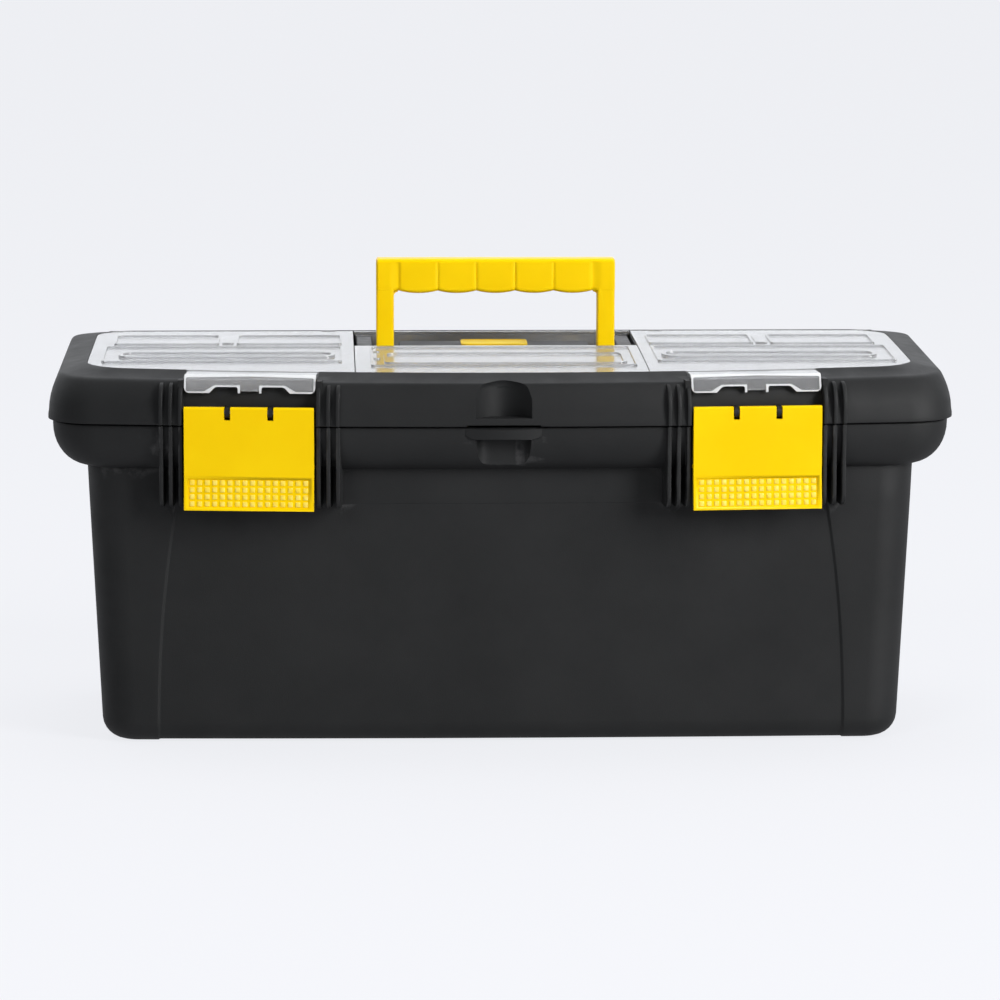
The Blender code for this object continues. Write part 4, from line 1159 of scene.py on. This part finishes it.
# ---- latches
def build_latch(node, side):
    place = latch_frame(side)
    back = LATCH_FRONT + LATCH_THICK
    top, bend, bottom = 0.1885, 0.1515, 0.1325
    radius = 0.0011
    outline = quarter(LATCH_FRONT + radius, top - radius, radius, radius, 90, 180, 6) + [
        (LATCH_FRONT, bend), (LATCH_FRONT - LATCH_FLARE, bottom), (back - LATCH_FLARE, bottom),
        (back, bend - 0.001), (back, 0.155), (0.0055, 0.155), (0.0055, 0.1562), (back, 0.1573), (back, top),
    ]
    plate = bevelled(profile_bar(bmesh.new(), outline, -LATCH_HALF, LATCH_HALF), 0.0005, 3)
    bmesh.ops.transform(plate, matrix=place, verts=plate.verts)
    name = node.replace("_latch", "_yellow_latch")
    latch = piece_from(name, plate)
    barrel_half = LATCH_HALF - 0.0006
    join(latch, rod(bmesh.new(), LATCH_BARREL, -barrel_half, barrel_half, *LATCH_AXIS, place, 48))
    slots = bmesh.new()
    for x in (-SLOT_X, SLOT_X):
        box(slots, (x - 0.0017, -0.01, 0.1815), (x + 0.0017, 0.02, 0.2), place)
    cut(latch, slots)
    cut(latch, rod(bmesh.new(), LATCH_BORE, -0.04, 0.04, *LATCH_AXIS, place))
    soften(latch, 0.0003, 50)
    lean, length = atan2(LATCH_FLARE, bend - bottom), hypot(LATCH_FLARE, bend - bottom)
    slope = place @ (Matrix.Translation((0, LATCH_FRONT, bend)) @ Matrix.Rotation(-lean, 4, "X"))
    half, depth = LATCH_HALF - 0.0024, 0.0005
    pad_top, pad_bottom = -0.002, -length + 0.0017
    cut(latch, box(bmesh.new(), (-half, -0.01, pad_bottom), (half, depth, pad_top), slope))
    adopt(latch, node, (node,), YELLOW)
    grid = bmesh.new()
    columns, rows = 16, 4
    pitch_x, pitch_z = 2 * half / columns, (pad_top - pad_bottom) / rows
    reach_x, reach_z = pitch_x * 0.3, pitch_z * 0.34
    for column in range(columns):
        for row in range(rows):
            x, z = -half + pitch_x * (column + 0.5), pad_bottom + pitch_z * (row + 0.5)
            ends = (x - reach_x, 0.00005, z - reach_z), (x + reach_x, depth + 0.0004, z + reach_z)
            rounded_box(grid, *ends, 0.00025, slope)
    # the studs take the lighter yellow, a painted highlight
    adopt(piece_from(name + "_studs", grid), node, (), STUD_HIGHLIGHT)


# ---- what stays from the CAD
def dress_cad_nodes():
    """Procedural materials and soft edges on the pins and dividers."""
    looks = ("_pin", STEEL, 0.0003), ("tray_divider", TRAY_INSERT, 0.0004), ("bin_divider", DIVIDER, 0.0003)
    for name, node in frame["nodes"].items():
        for word, material, width in looks:
            if word in name:
                for place in node.material_slots:
                    place.material = material
                add_bevel(node, "soft_edges", width, 50)


# ---- floor, lights, camera
def area_light(name, place, size, power):
    data = bpy.data.lights.new(name, "AREA")
    data.shape = "RECTANGLE"
    data.size, data.size_y = size
    data.energy = power
    light = link(name, data)
    light.location = place
    light.rotation_euler = (Vector((0, 0, 0.12)) - Vector(place)).to_track_quat("-Z", "Y").to_euler()
    return light


def build_stage():
    """The floor glows more for the camera than for the box, so that it is pale and even."""
    shape = bmesh.new()
    bmesh.ops.create_grid(shape, x_segments=1, y_segments=1, size=60.0)
    floor = piece_from("floor", shape)
    floor.location.z = -0.0002
    colour, glow = (0.1, 0.1, 0.105), (0.9, 0.91, 0.945, 1.0)
    finish = Finish("pale_floor", colour, 0.9, Specular_IOR_Level=0.0, Emission_Color=glow)
    seen = finish.tree.nodes.new("ShaderNodeLightPath").outputs["Is Camera Ray"]
    finish.drive("Emission Strength", map_range(finish.tree, seen, 0.36, 0.87, 0.0, 1.0))
    floor.data.materials.append(finish.material)
    bpy.context.scene.world = studio_world()
    bpy.context.scene.view_settings.view_transform = "Standard"
    area_light("key", (2.3, -2.0, 1.4), (1.2, 1.8), 96)
    area_light("side", (-1.5, -2.8, 1.9), (1.2, 1.2), 40).visible_glossy = False
    area_light("top", (0.0, 0.5, 2.4), (2.4, 1.6), 5)
    data = bpy.data.lights.new("sky", "SUN")
    data.energy = 0.8
    data.angle = radians(40)
    sky = link("sky", data)
    sky.visible_glossy = False
    sky.rotation_euler = (radians(-8), 0, 0)


def studio_world():
    """A pale room that is darker in front of the box; the camera sees it evenly pale."""
    world = bpy.data.worlds.new("studio")
    world.use_nodes = True
    tree = world.node_tree
    place = tree.nodes.new("ShaderNodeTexCoord").outputs["Generated"]
    split = tree.nodes.new("ShaderNodeSeparateXYZ")
    tree.links.new(place, split.inputs["Vector"])
    depth = map_range(tree, split.outputs["Y"], 0.05, 1.3, 0.05, 0.75)
    height = map_range(tree, split.outputs["Z"], 0.0, 0.15, 0.3, 0.95)
    room = tree.nodes["Background"]
    room.inputs["Color"].default_value = (0.94, 0.96, 1.0, 1.0)
    tree.links.new(node_output(tree, "Math", "Value", {0: depth, 1: height}), room.inputs["Strength"])
    seen = node_output(tree, "Background", "Background", {"Color": (0.885, 0.905, 0.94, 1.0)})
    camera = tree.nodes.new("ShaderNodeLightPath").outputs["Is Camera Ray"]
    mix = node_output(tree, "MixShader", "Shader", {0: camera, 1: room.outputs["Background"], 2: seen})
    tree.links.new(mix, tree.nodes["World Output"].inputs["Surface"])
    return world


def build_camera():
    """Level with the photograph: nearly straight on, a little from the left and from above."""
    azimuth, tilt, roll = radians(-1.98), radians(8.25), radians(0.105)
    distance = 2.87
    aim = Vector((0.0021, 0.0, 0.1207))
    data = bpy.data.cameras.new("photo_camera")
    data.sensor_width = 36.0
    data.lens = 183.0
    data.clip_end = 300.0
    camera = link("photo_camera", data)
    back = Vector((sin(azimuth) * cos(tilt), -cos(azimuth) * cos(tilt), sin(tilt)))
    camera.location = aim + back * distance
    turn = Matrix.Rotation(azimuth, 4, "Z") @ Matrix.Rotation(pi / 2 - tilt, 4, "X")
    camera.rotation_euler = (turn @ Matrix.Rotation(roll, 4, "Z")).to_euler()
    bpy.context.scene.camera = camera


build_camera()
build_stage()
build_tub()
build_tray()
build_lid()
build_recess_tops()
build_badge()
build_recess_lining()
build_rear_strip()
build_covers()
build_handle()
build_latch("left_latch", -1)
build_latch("right_latch", 1)
dress_cad_nodes()
